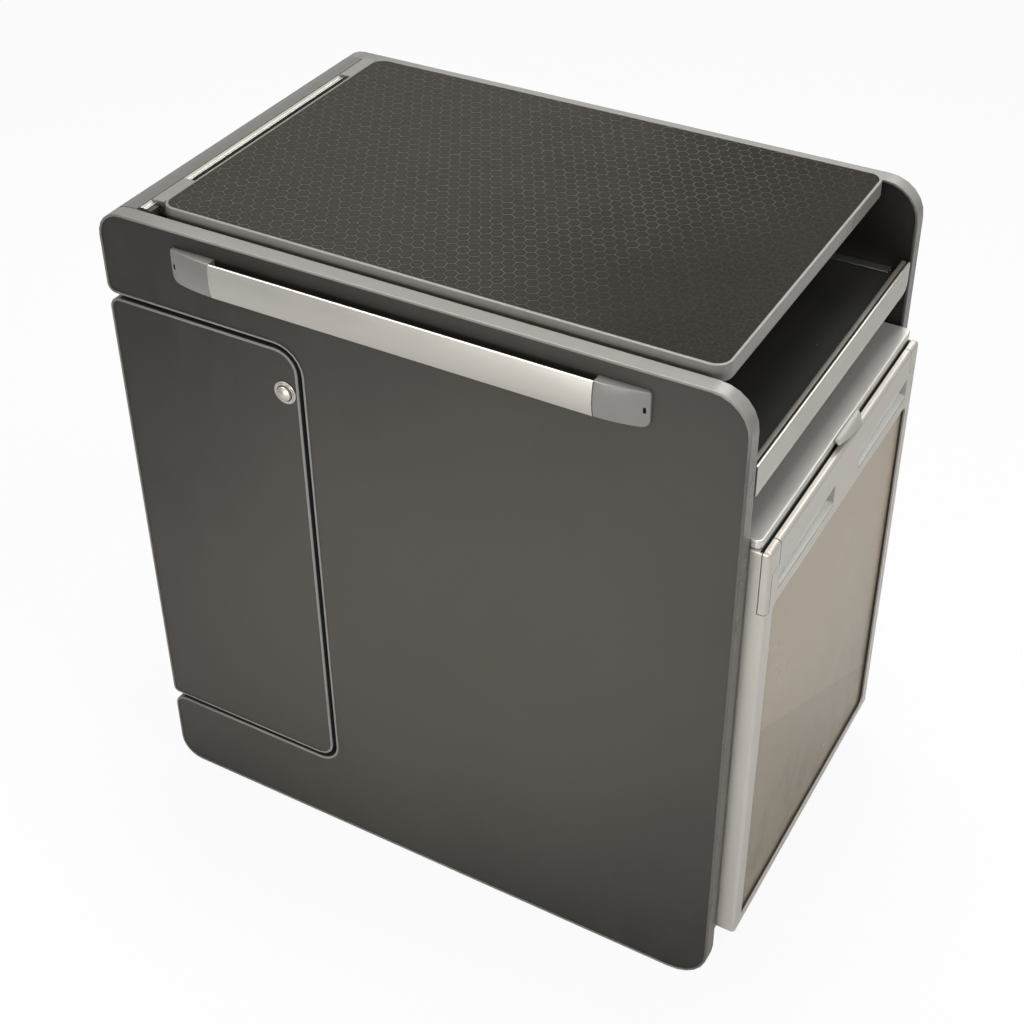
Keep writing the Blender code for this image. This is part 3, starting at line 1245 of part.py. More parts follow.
def fan_blade(centre, angle):
    """Flat blade set at a slant across the fan's depth."""
    way = Vector((math.cos(angle), 0, math.sin(angle)))
    side = Vector((-math.sin(angle), 0, math.cos(angle)))
    along = Vector((0, 1, 0))
    half_width = (side + along) * FAN_DEPTH / 3
    half_thick = (side - along).normalized() * FIN_THICKNESS / 2
    shape = bmesh.new()
    rings = []
    for reach in ((FAN_HUB_RADIUS + FAN_SPINDLE_RADIUS) / 2, FAN_RADIUS):
        spot = Vector(centre) + way * reach
        corners = (half_width + half_thick, half_width - half_thick)
        corners += (-half_width - half_thick, half_thick - half_width)
        rings.append([shape.verts.new(spot + p) for p in corners])
    bridge(shape, rings[0], rings[1])
    shape.faces.new(rings[0])
    shape.faces.new(rings[1])
    return shape


def door_shell():
    """Outer form of the fridge door with rounded front edges."""
    corners = rectangle(
        FRIDGE_DOOR_NEAR, FRIDGE_DOOR_LOW, FRIDGE_DOOR_FAR, FRIDGE_DOOR_TOP, FRIDGE_DOOR_RADIUS)
    edge = FRIDGE_DOOR_ROUND
    curve = arc((-edge, 0), edge, 0, 90, 4)
    levels = [(0, FRIDGE_DOOR_BACK)] + [(off, FRIDGE_DOOR_FACE - edge + rise) for off, rise in curve]
    return stack(corners, levels, "YZ", 4)


def cover_box(side, grow):
    """Box that takes the corner cover out of the door shell: side 0 is near, 1 is far."""
    start = FRIDGE_DOOR_NEAR - OVERRUN if side == 0 else FRIDGE_DOOR_FAR - COVER_WIDTH - grow
    end = FRIDGE_DOOR_NEAR + COVER_WIDTH + grow if side == 0 else FRIDGE_DOOR_FAR + OVERRUN
    low = (FRIDGE_DOOR_FACE - COVER_DEPTH - grow, start, COVER_LOW - grow)
    return block(low, (FRIDGE_DOOR_FACE + OVERRUN, end, FRIDGE_DOOR_TOP + OVERRUN))


def fridge_insert_outline():
    return rectangle(
        FRIDGE_DOOR_NEAR + INSERT_SIDE, FRIDGE_DOOR_LOW + INSERT_LOW,
        FRIDGE_DOOR_FAR - INSERT_SIDE, INSERT_TOP, INSERT_RADIUS)


def build_fridge_door():
    axis_point = (FRIDGE_HINGE_X, FRIDGE_HINGE_Y, (FRIDGE_DOOR_LOW + FRIDGE_DOOR_TOP) / 2)
    door = make_object("fridge_door", door_shell(), "fridge_silver", axis_point)
    insert_back = FRIDGE_DOOR_FACE - INSERT_RECESS - INSERT_THICKNESS
    outline = fridge_insert_outline()
    pocket = stack(outline, [(0, insert_back - SEAT), (0, FRIDGE_DOOR_FACE + OVERRUN)], "YZ", 4)
    apply_boolean(door, cutter("fridge_door_pocket", pocket, axis_point))
    for k in range(2):
        apply_boolean(door, cutter(f"fridge_grip_{k}", grip_cut(k), axis_point))
    for side, name in enumerate(("near", "far")):
        apply_boolean(door, cutter("fridge_cover_cut_" + name, cover_box(side, SEAT), axis_point))
        cover = make_object("fridge_cover_" + name, door_shell(), "fridge_silver", axis_point)
        keep = cutter("fridge_cover_keep_" + name, cover_box(side, 0), axis_point)
        apply_boolean(cover, keep, "INTERSECT")
    insert_levels = [(-SEAT, insert_back), (-SEAT, insert_back + INSERT_THICKNESS)]
    make_object("fridge_insert", stack(outline, insert_levels, "YZ", 4), "fridge_panel", axis_point)
    build_fridge_door_inside(axis_point)
    build_fridge_pins(door, axis_point)
    build_latch()


def grip_cut(k):
    """Finger recess: shallow at its near end and deep at its far end."""
    start = FRIDGE_DOOR_NEAR + GRIP_NEAR + GRIP_PITCH * k
    end = start + GRIP_LENGTH
    face = FRIDGE_DOOR_FACE
    outline = [
        (face + OVERRUN, start), (face + OVERRUN, end), (face - GRIP_DEEP, end),
        (face - GRIP_DEEP, end - GRIP_LENGTH / 3), (face - GRIP_SHALLOW, start),
    ]
    return prism(outline, "XY", GRIP_LOW, GRIP_LOW + GRIP_HEIGHT)


def build_fridge_door_inside(axis_point):
    """Inner door moulding with its racks, and the seal round it."""
    seal_front = FRIDGE_DOOR_BACK - SEAT
    corners = rectangle(
        FRIDGE_DOOR_NEAR + GASKET_INSET, FRIDGE_LOW + GASKET_INSET + GASKET_WIDTH * 2,
        FRIDGE_DOOR_FAR - GASKET_INSET, FRIDGE_DOOR_TOP - GASKET_INSET)
    section = [
        (0, seal_front), (0, seal_front - GASKET_THICKNESS),
        (-GASKET_WIDTH, seal_front - GASKET_THICKNESS), (-GASKET_WIDTH, seal_front),
    ]
    make_object("fridge_seal", loop_solid(corners, section, "YZ"), "rubber", axis_point)
    inset = DOOR_LINER_INSET
    wall = DOOR_LINER_WALL
    low_y = FRIDGE_DOOR_NEAR + inset
    high_y = FRIDGE_DOOR_FAR - inset
    low_z = FRIDGE_DOOR_LOW + inset
    high_z = FRIDGE_HIGH - FRIDGE_WALL - EVAPORATOR_HEIGHT - inset / 2
    back = seal_front - DOOR_LINER_DEPTH
    liner = block((back, low_y, low_z), (seal_front, high_y, high_z))
    liner = make_object("fridge_door_liner", liner, "white", axis_point)
    rack = (high_z - low_z) / 2
    for k in range(2):
        level = low_z + rack * k + wall
        top = level + rack - 2 * wall
        room = block((back + wall, low_y + wall, level), (seal_front - wall, high_y - wall, top))
        apply_boolean(liner, cutter(f"rack_room_{k}", room, axis_point))
        way_in = block(
            (back - OVERRUN, low_y + 2 * wall, level + RACK_RAIL),
            (back + 2 * wall, high_y - 2 * wall, top - wall))
        apply_boolean(liner, cutter(f"rack_way_in_{k}", way_in, axis_point))


def build_fridge_pins(door, axis_point):
    pin = (FRIDGE_HINGE_X, FRIDGE_HINGE_Y)
    radius = FRIDGE_PIN_RADIUS
    bore_radius = radius + HINGE_BORE_PLAY
    bores = {
        "top": (FRIDGE_DOOR_TOP, -FRIDGE_PIN_LENGTH, OVERRUN),
        "low": (FRIDGE_DOOR_LOW, -OVERRUN, FRIDGE_PIN_LENGTH),
    }
    for name, (level, start, end) in bores.items():
        bore = turned([(bore_radius, start), (bore_radius, end)], (*pin, level), "Z", 16)
        apply_boolean(door, cutter("fridge_bore_" + name, bore, axis_point))
    reach = FRIDGE_PIN_LENGTH - SEAT
    top = turned([(radius, -reach), (radius, FRIDGE_DOOR_TOP_GAP + FRIDGE_LID_THICKNESS / 2 - SEAT)],
                 (*pin, FRIDGE_DOOR_TOP), "Z", 16)
    make_object("fridge_hinge_pin", top, "steel")
    plate_top = FRIDGE_DOOR_LOW - SEAT
    plate_low = plate_top - HINGE_PLATE
    side = FRIDGE_HINGE_INSET - SEAT
    outline = [
        (FRIDGE_FRONT + SEAT, pin[1] - 2 * side, 0), (pin[0] + side, pin[1] - 2 * side, side),
        (pin[0] + side, pin[1] + side, side), (FRIDGE_FRONT + SEAT, pin[1] + side, 0),
    ]
    plate = stack(outline, [(0, plate_low), (0, plate_top)], "XY", 4)
    bracket = make_object("fridge_hinge_bracket", plate, "steel")
    flange = block(
        (FRIDGE_FRONT + SEAT, pin[1] - 2 * side, plate_low - 2 * HINGE_PLATE - OVERRUN),
        (FRIDGE_FRONT + SEAT + HINGE_PLATE, pin[1] + side, plate_low + HINGE_PLATE / 2))
    apply_boolean(bracket, cutter("fridge_bracket_flange", flange), "UNION")
    stub = turned([(radius, -HINGE_PLATE / 2), (radius, SEAT + reach)], (*pin, plate_top), "Z", 16)
    apply_boolean(bracket, cutter("fridge_bracket_stub", stub), "UNION")


def build_latch():
    """Lift latch over the gap between the fridge lid and the door."""
    play = LATCH_PLAY
    top = FRIDGE_LID_TOP
    lid = FRIDGE_LID_FRONT + play
    face = FRIDGE_DOOR_FACE + play / 2
    edge = FRIDGE_DOOR_ROUND
    outline = [
        (lid, FRIDGE_DOOR_TOP + play),
        (face - edge / 2, FRIDGE_DOOR_TOP + play),
        (face, FRIDGE_DOOR_TOP - edge / 2),
        (face, FRIDGE_DOOR_TOP - LATCH_SKIRT),
        (face + LATCH_WALL, FRIDGE_DOOR_TOP - LATCH_SKIRT),
        (face + LATCH_WALL, FRIDGE_DOOR_TOP + play),
        (lid + LATCH_WALL, top + play),
        (lid, top + play),
    ]
    shape = prism(outline, "XZ", LATCH_START, LATCH_START + LATCH_LENGTH)
    middle_y = LATCH_START + LATCH_LENGTH / 2
    make_object("fridge_latch", shape, "fridge_silver", (face, middle_y, FRIDGE_DOOR_TOP))


def build_part():
    clear_scene()
    build_side_panels()
    build_inner_boards()
    build_top_rail()
    build_hinge_rail()
    build_lid()
    build_grab_rail()
    build_cabinet_door()
    build_slide_out()
    build_sink()
    build_hob()
    build_cans()
    build_fridge_body()
    build_fridge_door()


build_part()
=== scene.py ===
"""Looks of the campervan kitchen pod: finishes, finer pieces, studio and camera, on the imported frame."""
import json
import math

import bmesh
import bpy
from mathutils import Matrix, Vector

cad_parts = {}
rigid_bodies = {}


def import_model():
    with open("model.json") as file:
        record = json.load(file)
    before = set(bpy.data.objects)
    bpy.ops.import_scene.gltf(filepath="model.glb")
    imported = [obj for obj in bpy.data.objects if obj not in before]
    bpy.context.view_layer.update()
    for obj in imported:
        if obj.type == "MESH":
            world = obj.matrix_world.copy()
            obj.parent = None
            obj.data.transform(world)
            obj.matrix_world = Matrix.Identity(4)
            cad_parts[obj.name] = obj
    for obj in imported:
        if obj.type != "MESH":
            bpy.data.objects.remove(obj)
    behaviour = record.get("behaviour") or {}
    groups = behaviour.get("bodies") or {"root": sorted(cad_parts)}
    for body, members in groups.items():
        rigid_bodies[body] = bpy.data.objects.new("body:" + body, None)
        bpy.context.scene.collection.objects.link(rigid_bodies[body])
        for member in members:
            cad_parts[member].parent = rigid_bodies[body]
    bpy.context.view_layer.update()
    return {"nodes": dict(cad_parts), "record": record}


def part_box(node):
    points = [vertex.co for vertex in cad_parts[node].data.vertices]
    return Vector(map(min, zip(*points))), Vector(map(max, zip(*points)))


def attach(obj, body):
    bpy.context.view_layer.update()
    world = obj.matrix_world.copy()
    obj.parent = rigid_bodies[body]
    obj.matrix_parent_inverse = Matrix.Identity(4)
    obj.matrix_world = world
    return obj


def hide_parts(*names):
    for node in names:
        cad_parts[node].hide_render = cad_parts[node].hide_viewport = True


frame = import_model()

# Camera, solved from the object's straight edges; its lens and sensor are in millimetres
CAMERA_PLACE = (0.7202, -1.27914, 1.51187)
CAMERA_DEGREES = (54.2717, 0.7111, 29.6490)
CAMERA_LENS = 61.945
CAMERA_SENSOR = 36
CAMERA_SHIFT_SHARES = (0.0110156, -0.0812988)

# Axes, as indices of a place
X, Y, Z = range(3)

# Edge rounding of the pieces, with its steps from small edges to corners
FINE_EDGE = 0.0004
SOFT_EDGE = 0.0008
FINE_STEPS = 2
EDGE_STEPS = 3
ROUND_STEPS = 4
CORNER_STEPS = 6
CREASE_DEGREES = 32

# Slack within which corners merge, faces are flat, places are the same and ways are straight
MERGE_REACH = 0.00001
FLAT_DEGREES = 1
SAME_PLACE = 0.00005
PLACES = 5
STRAIGHT = 0.999

# Depth by which one solid of a piece reaches into the next
OVERLAP = 0.0005


# Shader expressions

class Wire:
    """A socket that takes part in sums: each operator adds the Math node it stands for."""

    def __init__(self, finish, socket):
        self.finish = finish
        self.socket = socket

    def math(self, operation, first, second):
        return self.finish.node("ShaderNodeMath", {"operation": operation}, {0: first, 1: second})

    def __add__(self, other):
        return self.math("ADD", self, other)

    def __radd__(self, other):
        return self.math("ADD", other, self)

    def __sub__(self, other):
        return self.math("SUBTRACT", self, other)

    def __rsub__(self, other):
        return self.math("SUBTRACT", other, self)

    def __mul__(self, other):
        return self.math("MULTIPLY", self, other)

    def __rmul__(self, other):
        return self.math("MULTIPLY", other, self)

    def __truediv__(self, other):
        return self.math("DIVIDE", self, other)

    def __mod__(self, other):
        return self.math("FLOORED_MODULO", self, other)

    def __pow__(self, other):
        return self.math("POWER", self, other)

    def __abs__(self):
        return self.math("ABSOLUTE", self, 0)

    def most(self, other):
        return self.math("MAXIMUM", self, other)

    def below(self, other):
        return self.math("LESS_THAN", self, other)

    def ramp(self, low, high):
        """0 up to low, 1 from high on, with soft shoulders between."""
        settings = {"interpolation_type": "SMOOTHSTEP"}
        return self.finish.node("ShaderNodeMapRange", settings, {0: self, 1: low, 2: high})


class Finish:
    """A material under construction, with its shader and its Object coordinates."""

    def __init__(self, name, metallic=0.0, specular=0.5):
        self.material = bpy.data.materials.new(name)
        self.material.use_nodes = True
        self.tree = self.material.node_tree
        self.shader = self.tree.nodes["Principled BSDF"]
        self.shader.inputs["Metallic"].default_value = metallic
        self.shader.inputs["Specular IOR Level"].default_value = specular
        self.place = self.node("ShaderNodeTexCoord", output="Object")

    def feed(self, socket, value):
        if isinstance(value, Wire):
            self.tree.links.new(value.socket, socket)
        else:
            socket.default_value = value

    def node(self, kind, settings=None, inputs=None, output=0):
        made = self.tree.nodes.new(kind)
        for key, value in (settings or {}).items():
            setattr(made, key, value)
        for key, value in (inputs or {}).items():
            self.feed(made.inputs[key], value)
        return Wire(self, made.outputs[output])

    def along(self, axis):
        return self.node("ShaderNodeSeparateXYZ", None, {0: self.place}, axis)

    def stretched(self, shares):
        settings = {"operation": "MULTIPLY"}
        return self.node("ShaderNodeVectorMath", settings, {0: self.place, 1: shares})

    def noise(self, size, detail, roughness, shares=(1, 1, 1)):
        """Noise from 0 to 1 whose features are about that size, longer along an axis of a small share."""
        inputs = {"Vector": self.stretched(shares), "Scale": 1 / size}
        inputs.update({"Detail": detail, "Roughness": roughness})
        return self.node("ShaderNodeTexNoise", None, inputs)

    def mix(self, mask, low, high):
        """Colour between two colours."""
        return self.node("ShaderNodeMix", {"data_type": "RGBA"}, {0: mask, 6: low, 7: high}, 2)

    def colour(self, value):
        self.feed(self.shader.inputs["Base Color"], value)

    def rough(self, value):
        self.feed(self.shader.inputs["Roughness"], value)

    def bump(self, height, depth, strength):
        inputs = {"Height": height, "Distance": depth, "Strength": strength}
        self.feed(self.shader.inputs["Normal"], self.node("ShaderNodeBump", None, inputs))


def paint(red, green, blue):
    """Linear colour of a shade given as 0 to 255."""
    channels = []
    for shade in (red, green, blue):
        share = shade / 255
        low = share / 12.92
        high = ((share + 0.055) / 1.055) ** 2.4
        channels.append(low if share <= 0.04045 else high)
    return (*channels, 1.0)


# Finishes: widths of their clouds, marks and grain, and depths of the grain's relief

LAMINATE_CLOUD = 0.16
LAMINATE_WIPE = 0.03
LAMINATE_WIPE_SHARES = (1.0, 1.0, 0.35)
LAMINATE_PEBBLE = 0.00045
LAMINATE_RELIEF = 0.00004

# Painted pool of light on the boards: middle as X and Z, lean as cosine and sine, half length, half breadth
LIGHT_POOL_PLACE = (0.05, 0.35)
LIGHT_POOL_LEAN_SHARES = (0.76, 0.65)
LIGHT_POOL_LENGTH = 0.60
LIGHT_POOL_BREADTH = 0.35

# Places in Y between which the painted pool of light fades, so that it stays on the front
LIGHT_POOL_FRONT = -0.15
LIGHT_POOL_BACK = 0.0


def laminate():
    """Dark grey laminate of the boards: satin, finely pebbled, with a painted pool of light on the front.
    """
    finish = Finish("laminate", specular=0.35)
    clouds = finish.noise(LAMINATE_CLOUD, 3.0, 0.55)
    wipes = finish.noise(LAMINATE_WIPE, 4.0, 0.6, LAMINATE_WIPE_SHARES)
    pebble = finish.noise(LAMINATE_PEBBLE, 2.0, 0.6)
    middle_x, middle_z = LIGHT_POOL_PLACE
    cosine, sine = LIGHT_POOL_LEAN_SHARES
    across = finish.along("X") - middle_x
    high = finish.along("Z") - middle_z
    along = (across * cosine + high * sine) / LIGHT_POOL_LENGTH
    aside = (high * cosine - across * sine) / LIGHT_POOL_BREADTH
    # Painted light: a broad pool of light on the front board's middle, with painted shade towards its edges
    painted_light_pool = 1 - ((along * along + aside * aside) ** 0.5 + (clouds - 0.5) * 0.3).ramp(0.25, 1.35)
    painted_light_pool = painted_light_pool * (1 - finish.along("Y").ramp(LIGHT_POOL_FRONT, LIGHT_POOL_BACK))
    base = finish.mix(painted_light_pool, paint(39, 37, 33), paint(76, 72, 65))
    finish.colour(finish.mix(wipes.ramp(0.45, 0.8) * 0.15, base, paint(84, 80, 74)))
    finish.rough(0.50 + wipes * 0.10 + pebble * 0.04)
    finish.bump(pebble, LAMINATE_RELIEF, 0.5)
    return finish.material


TRIM_CLOUD = 0.05
TRIM_SCUFF = 0.012
TRIM_GRAIN = 0.0005
TRIM_RELIEF = 0.00003


def trim(name, low, high):
    """Grey satin edge trim, with painted shade at the left end and down the right-facing end of the pod."""
    first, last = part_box("front_panel_trim")
    finish = Finish(name, specular=0.45)
    clouds = finish.noise(TRIM_CLOUD, 3.0, 0.6)
    grain = finish.noise(TRIM_GRAIN, 2.0, 0.5)
    scuffs = finish.noise(TRIM_SCUFF, 5.0, 0.7)
    base = finish.mix(clouds, low, high)
    base = finish.mix(scuffs.ramp(0.62, 0.8) * 0.5, base, paint(156, 153, 147))
    # Painted shade: darker at the left end of the pod and on the right end's outward side below its top
    # corner
    rightward = (finish.along("X") - first.x) / (last.x - first.x)
    upward = (finish.along("Z") - first.z) / (last.z - first.z)
    painted_shade = rightward.ramp(0.955, 0.99) * (1 - upward.ramp(0.90, 0.99)) * 0.9
    painted_shade = painted_shade + (1 - rightward.ramp(0.0, 0.20)) * 0.5
    finish.colour(finish.mix(painted_shade, base, paint(86, 82, 76)))
    finish.rough(0.22 + clouds * 0.08 + grain * 0.05)
    finish.bump(grain, TRIM_RELIEF, 0.5)
    return finish.material


# Honeycomb: width of a cell, place of one cell's middle, half width of a line and its soft rim
HEX_PITCH = 0.0116
HEX_SHIFT_X = -0.00225
HEX_SHIFT_Y = 0.0031
HEX_LINE = 0.0002
HEX_SLOPE = 0.00025

# Painted shadow beside each line: distances from the line's middle to its start, peak and end
SHADOW_BAND_START = 0.0004
SHADOW_BAND_PEAK = 0.0009
SHADOW_BAND_END = 0.0021

WORKTOP_CLOUD = 0.12
WORKTOP_PATCH = 0.009
WORKTOP_MOTTLE = 0.0035
WORKTOP_DUST = 0.0022
WORKTOP_GRAIN = 0.0007
WORKTOP_RELIEF = 0.00012


def hexagons(finish):
    """Distance to the nearest side of a honeycomb that has two sides of each cell along Y."""
    root = math.sqrt(3)
    across = (finish.along("X") - HEX_SHIFT_X) / HEX_PITCH
    deep = (finish.along("Y") - HEX_SHIFT_Y) / HEX_PITCH
    places = []
    for shift in (0.0, 0.5):
        first = (across + shift) % 1.0 - 0.5
        second = (deep + shift * root) % root - root / 2
        places.append((first, second))
    (ax, ay), (bx, by) = places
    nearer = (ax * ax + ay * ay).below(bx * bx + by * by)
    x = abs(ax * nearer + bx * (1 - nearer))
    y = abs(ay * nearer + by * (1 - nearer))
    reach = x.most(x * 0.5 + y * (root / 2))
    return (0.5 - reach) * HEX_PITCH


def honeycomb():
    """Dark worktop laminate with a fine pressed honeycomb and painted shadow beside its lines, darker and
    worn towards its right front.
    """
    low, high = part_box("worktop_lid")
    finish = Finish("honeycomb", specular=0.06)
    edge = hexagons(finish)
    clouds = finish.noise(WORKTOP_CLOUD, 3.0, 0.6)
    grain = finish.noise(WORKTOP_GRAIN, 2.0, 0.6)
    patches = finish.noise(WORKTOP_PATCH, 3.0, 0.6)
    rightward = (finish.along("X") - low.x) / (high.x - low.x)
    frontward = (high.y - finish.along("Y")) / (high.y - low.y)
    shade = (rightward - frontward * 0.1 + (clouds - 0.5) * 0.3).ramp(0.25, 0.9)
    worn = rightward ** 3 * 0.9 + frontward * rightward * 0.6 + (clouds - 0.5) * 0.4
    worn = worn.ramp(0.35, 1.05)
    line = (1 - edge.ramp(HEX_LINE, HEX_LINE + HEX_SLOPE)) * (0.30 + patches.ramp(0.35, 0.65) * 0.55)
    painted_shadow_band = edge.ramp(SHADOW_BAND_START, SHADOW_BAND_PEAK) * (1 - edge.ramp(SHADOW_BAND_PEAK, SHADOW_BAND_END))
    dust = finish.noise(WORKTOP_DUST, 1.0, 0.5).ramp(0.80, 0.84)
    mottles = finish.noise(WORKTOP_MOTTLE, 3.0, 0.7)
    base = finish.mix(shade, paint(57, 53, 48), paint(34, 30, 26))
    base = finish.mix(mottles.ramp(0.42, 0.66) * (0.15 + worn * 0.35), base, paint(52, 47, 40))
    # Painted shadow beside each pressed line
    base = finish.mix(painted_shadow_band * (0.55 - worn * 0.35), base, paint(24, 22, 20))
    base = finish.mix(line * (0.95 - worn * 0.85), base, paint(114, 110, 102))
    finish.colour(finish.mix(dust * 0.5, base, paint(170, 165, 155)))
    finish.rough(0.50 + clouds * 0.10 - line * 0.08 + grain * 0.05)
    pressed = (line * 0.5 - painted_shadow_band * 0.4) * (1 - worn * 0.7)
    finish.bump(pressed + grain * 0.15, WORKTOP_RELIEF, 0.8)
    return finish.material


METAL_LINE = 0.0006
METAL_CLOUD = 0.06
METAL_RELIEF = 0.00002

# Shares of the three axes that draw the lines out along one of them, or leave them even
ALONG_X_SHARES = (0.01, 1.0, 1.0)
ALONG_Y_SHARES = (1.0, 0.01, 1.0)
EVEN_SHARES = (1.0, 1.0, 1.0)


def brushed(name, low, high, roughness, shares):
    """Drawn metal with fine lines along one way."""
    finish = Finish(name, metallic=1.0)
    lines = finish.noise(METAL_LINE, 3.0, 0.6, shares)
    clouds = finish.noise(METAL_CLOUD, 3.0, 0.6)
    finish.colour(finish.mix(clouds * 0.6 + lines * 0.4, low, high))
    finish.rough(roughness + lines * 0.10 + clouds * 0.05)
    finish.bump(lines, METAL_RELIEF, 0.35)
    return finish.material


PLASTIC_CLOUD = 0.04
PLASTIC_GRAIN = 0.0006
WHITE_GRAIN = 0.001
RUBBER_GRAIN = 0.0008
PLASTIC_RELIEF = 0.00003


def moulded(name, low, high, roughness, grain_size=PLASTIC_GRAIN, specular=0.45):
    """Moulded plastic with a fine pressed grain."""
    finish = Finish(name, specular=specular)
    grain = finish.noise(grain_size, 2.0, 0.6)
    clouds = finish.noise(PLASTIC_CLOUD, 3.0, 0.55)
    finish.colour(finish.mix(clouds, low, high))
    finish.rough(roughness + grain * 0.06 + clouds * 0.05)
    finish.bump(grain, PLASTIC_RELIEF, 0.5)
    return finish.material


SKIN_CLOUD = 0.08
SKIN_FLAKE = 0.0005
SKIN_RELIEF = 0.00002


def silver_skin(name, low, high, metallic, roughness):
    """Silver paint on the fridge: fine flake, soft gloss, faint clouds."""
    finish = Finish(name, metallic=metallic)
    flake = finish.noise(SKIN_FLAKE, 1.0, 0.5)
    clouds = finish.noise(SKIN_CLOUD, 3.0, 0.6)
    finish.colour(finish.mix(clouds * 0.7 + flake * 0.3, low, high))
    finish.rough(roughness + clouds * 0.08 + flake * 0.05)
    finish.bump(flake, SKIN_RELIEF, 0.4)
    return finish.material


DECOR_CLOUD = 0.11
DECOR_STAIN = 0.035
DECOR_STAIN_SHARES = (1.0, 1.0, 0.5)
DECOR_GRAIN = 0.0007
DECOR_RELIEF = 0.00002


def decor_panel():
    """Glossy warm grey panel of the fridge door, darker towards the bottom and below a slanting line, and
    mottled low down.
    """
    low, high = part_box("fridge_insert")
    finish = Finish("decor_panel", specular=0.2)
    height = (finish.along("Z") - low.z) / (high.z - low.z)
    across = (finish.along("Y") - low.y) / (high.y - low.y)
    below = 1 - (height + across * 0.48).ramp(0.615, 0.625)
    clouds = finish.noise(DECOR_CLOUD, 4.0, 0.6)
    stains = finish.noise(DECOR_STAIN, 5.0, 0.65, DECOR_STAIN_SHARES)
    grain = finish.noise(DECOR_GRAIN, 2.0, 0.5)
    base = finish.mix(height.ramp(0.0, 0.9), paint(145, 130, 105), paint(173, 157, 131))
    base = finish.mix(clouds.ramp(0.4, 0.7) * 0.25, base, paint(177, 164, 142))
    base = finish.mix(below * 0.32, base, paint(122, 109, 86))
    mask = stains.ramp(0.46, 0.72) * (1 - height.ramp(0.10, 0.42))
    finish.colour(finish.mix(mask * 0.5, base, paint(104, 90, 68)))
    finish.rough(0.22 + clouds * 0.08)
    finish.bump(grain, DECOR_RELIEF, 0.3)
    return finish.material


BOARD_CLOUD = 0.07
BOARD_DUST = 0.0025
BOARD_GRAIN = 0.0006
BOARD_RELIEF = 0.00004


def black_board():
    """Black board inside, matt with a little dust."""
    finish = Finish("black_board", specular=0.15)
    clouds = finish.noise(BOARD_CLOUD, 3.0, 0.6)
    dust = finish.noise(BOARD_DUST, 1.0, 0.5).ramp(0.79, 0.83)
    grain = finish.noise(BOARD_GRAIN, 2.0, 0.6)
    base = finish.mix(clouds, paint(32, 31, 30), paint(39, 38, 36))
    finish.colour(finish.mix(dust * 0.6, base, paint(150, 146, 138)))
    finish.rough(0.55 + clouds * 0.10 + grain * 0.05)
    finish.bump(grain, BOARD_RELIEF, 0.5)
    return finish.material


CAN_CLOUD = 0.05
CAN_GRAIN = 0.0009
CAN_RELIEF = 0.00005


def milky():
    """Milky canister plastic."""
    finish = Finish("milky", specular=0.45)
    clouds = finish.noise(CAN_CLOUD, 3.0, 0.6)
    grain = finish.noise(CAN_GRAIN, 2.0, 0.6)
    finish.colour(finish.mix(clouds, paint(204, 206, 203), paint(220, 222, 219)))
    finish.rough(0.40 + clouds * 0.10)
    finish.bump(grain, CAN_RELIEF, 0.5)
    return finish.material


ENAMEL_SPECK = 0.0012
ENAMEL_RELIEF = 0.00006


def enamel():
    """Black stove enamel."""
    finish = Finish("enamel")
    specks = finish.noise(ENAMEL_SPECK, 3.0, 0.7)
    finish.colour(finish.mix(specks, paint(26, 26, 26), paint(40, 40, 39)))
    finish.rough(0.38 + specks * 0.2)
    finish.bump(specks, ENAMEL_RELIEF, 0.6)
    return finish.material


FINISHES = {
    "graphite": laminate(),
    "trim_grey": trim("trim", paint(134, 132, 126), paint(145, 143, 137)),
    # A darker copy of the trim finish for the end top rail: painted shade
    "shaded_copy_trim_grey": trim("end_rail", paint(108, 106, 102), paint(118, 116, 112)),
    "black": black_board(),
    "worktop": honeycomb(),
    "aluminium": brushed(
        "mill_aluminium", paint(186, 182, 174), paint(204, 200, 192), 0.30, ALONG_Y_SHARES),
    "champagne": brushed(
        "champagne_alu", paint(180, 176, 169), paint(190, 186, 179), 0.34, ALONG_X_SHARES),
    "grey_plastic": moulded("grey_plastic", paint(126, 124, 119), paint(136, 134, 129), 0.26),
    "nickel": brushed("satin_nickel", paint(184, 179, 172), paint(198, 193, 186), 0.30, EVEN_SHARES),
    "fridge_silver": silver_skin("silver_skin", paint(188, 183, 175), paint(200, 195, 187), 0.5, 0.34),
    # A lighter, glossier copy of the silver for the fridge lid: painted light
    "painted_light_fridge_top": silver_skin("silver_top", paint(215, 212, 206), paint(225, 222, 216), 0.6, 0.26),
    # A paler, non-metal copy of the silver for the grip recesses: painted light
    "painted_light_fridge_grip": silver_skin("silver_grip", paint(206, 206, 201), paint(214, 214, 209), 0.0, 0.26),
    "fridge_latch": silver_skin("silver_latch", paint(156, 153, 147), paint(166, 163, 157), 0.3, 0.32),
    "fridge_panel": decor_panel(),
    "white": moulded("white_moulding", paint(222, 222, 219), paint(230, 230, 227), 0.25, WHITE_GRAIN),
    "rubber": moulded("grey_rubber", paint(58, 58, 57), paint(68, 68, 66), 0.6, RUBBER_GRAIN, 0.3),
    "steel": brushed("brushed_steel", paint(178, 177, 174), paint(196, 195, 192), 0.26, ALONG_Y_SHARES),
    "can_plastic": milky(),
    "iron": enamel(),
}

# Finishes of single pieces whose CAD slot is shared with others of another shade; the end top rail's is a
# painted-shade copy and the fridge lid's a painted-light copy of their slot's finish
OWN_FINISHES = {
    "end_top_rail": "shaded_copy_trim_grey", "fridge_lid": "painted_light_fridge_top", "hinge_rail": "champagne",
    "fridge_latch": "fridge_latch"}


# Pieces

def only(piece):
    """Selects one piece and nothing else."""
    bpy.ops.object.select_all(action="DESELECT")
    piece.select_set(True)
    bpy.context.view_layer.objects.active = piece


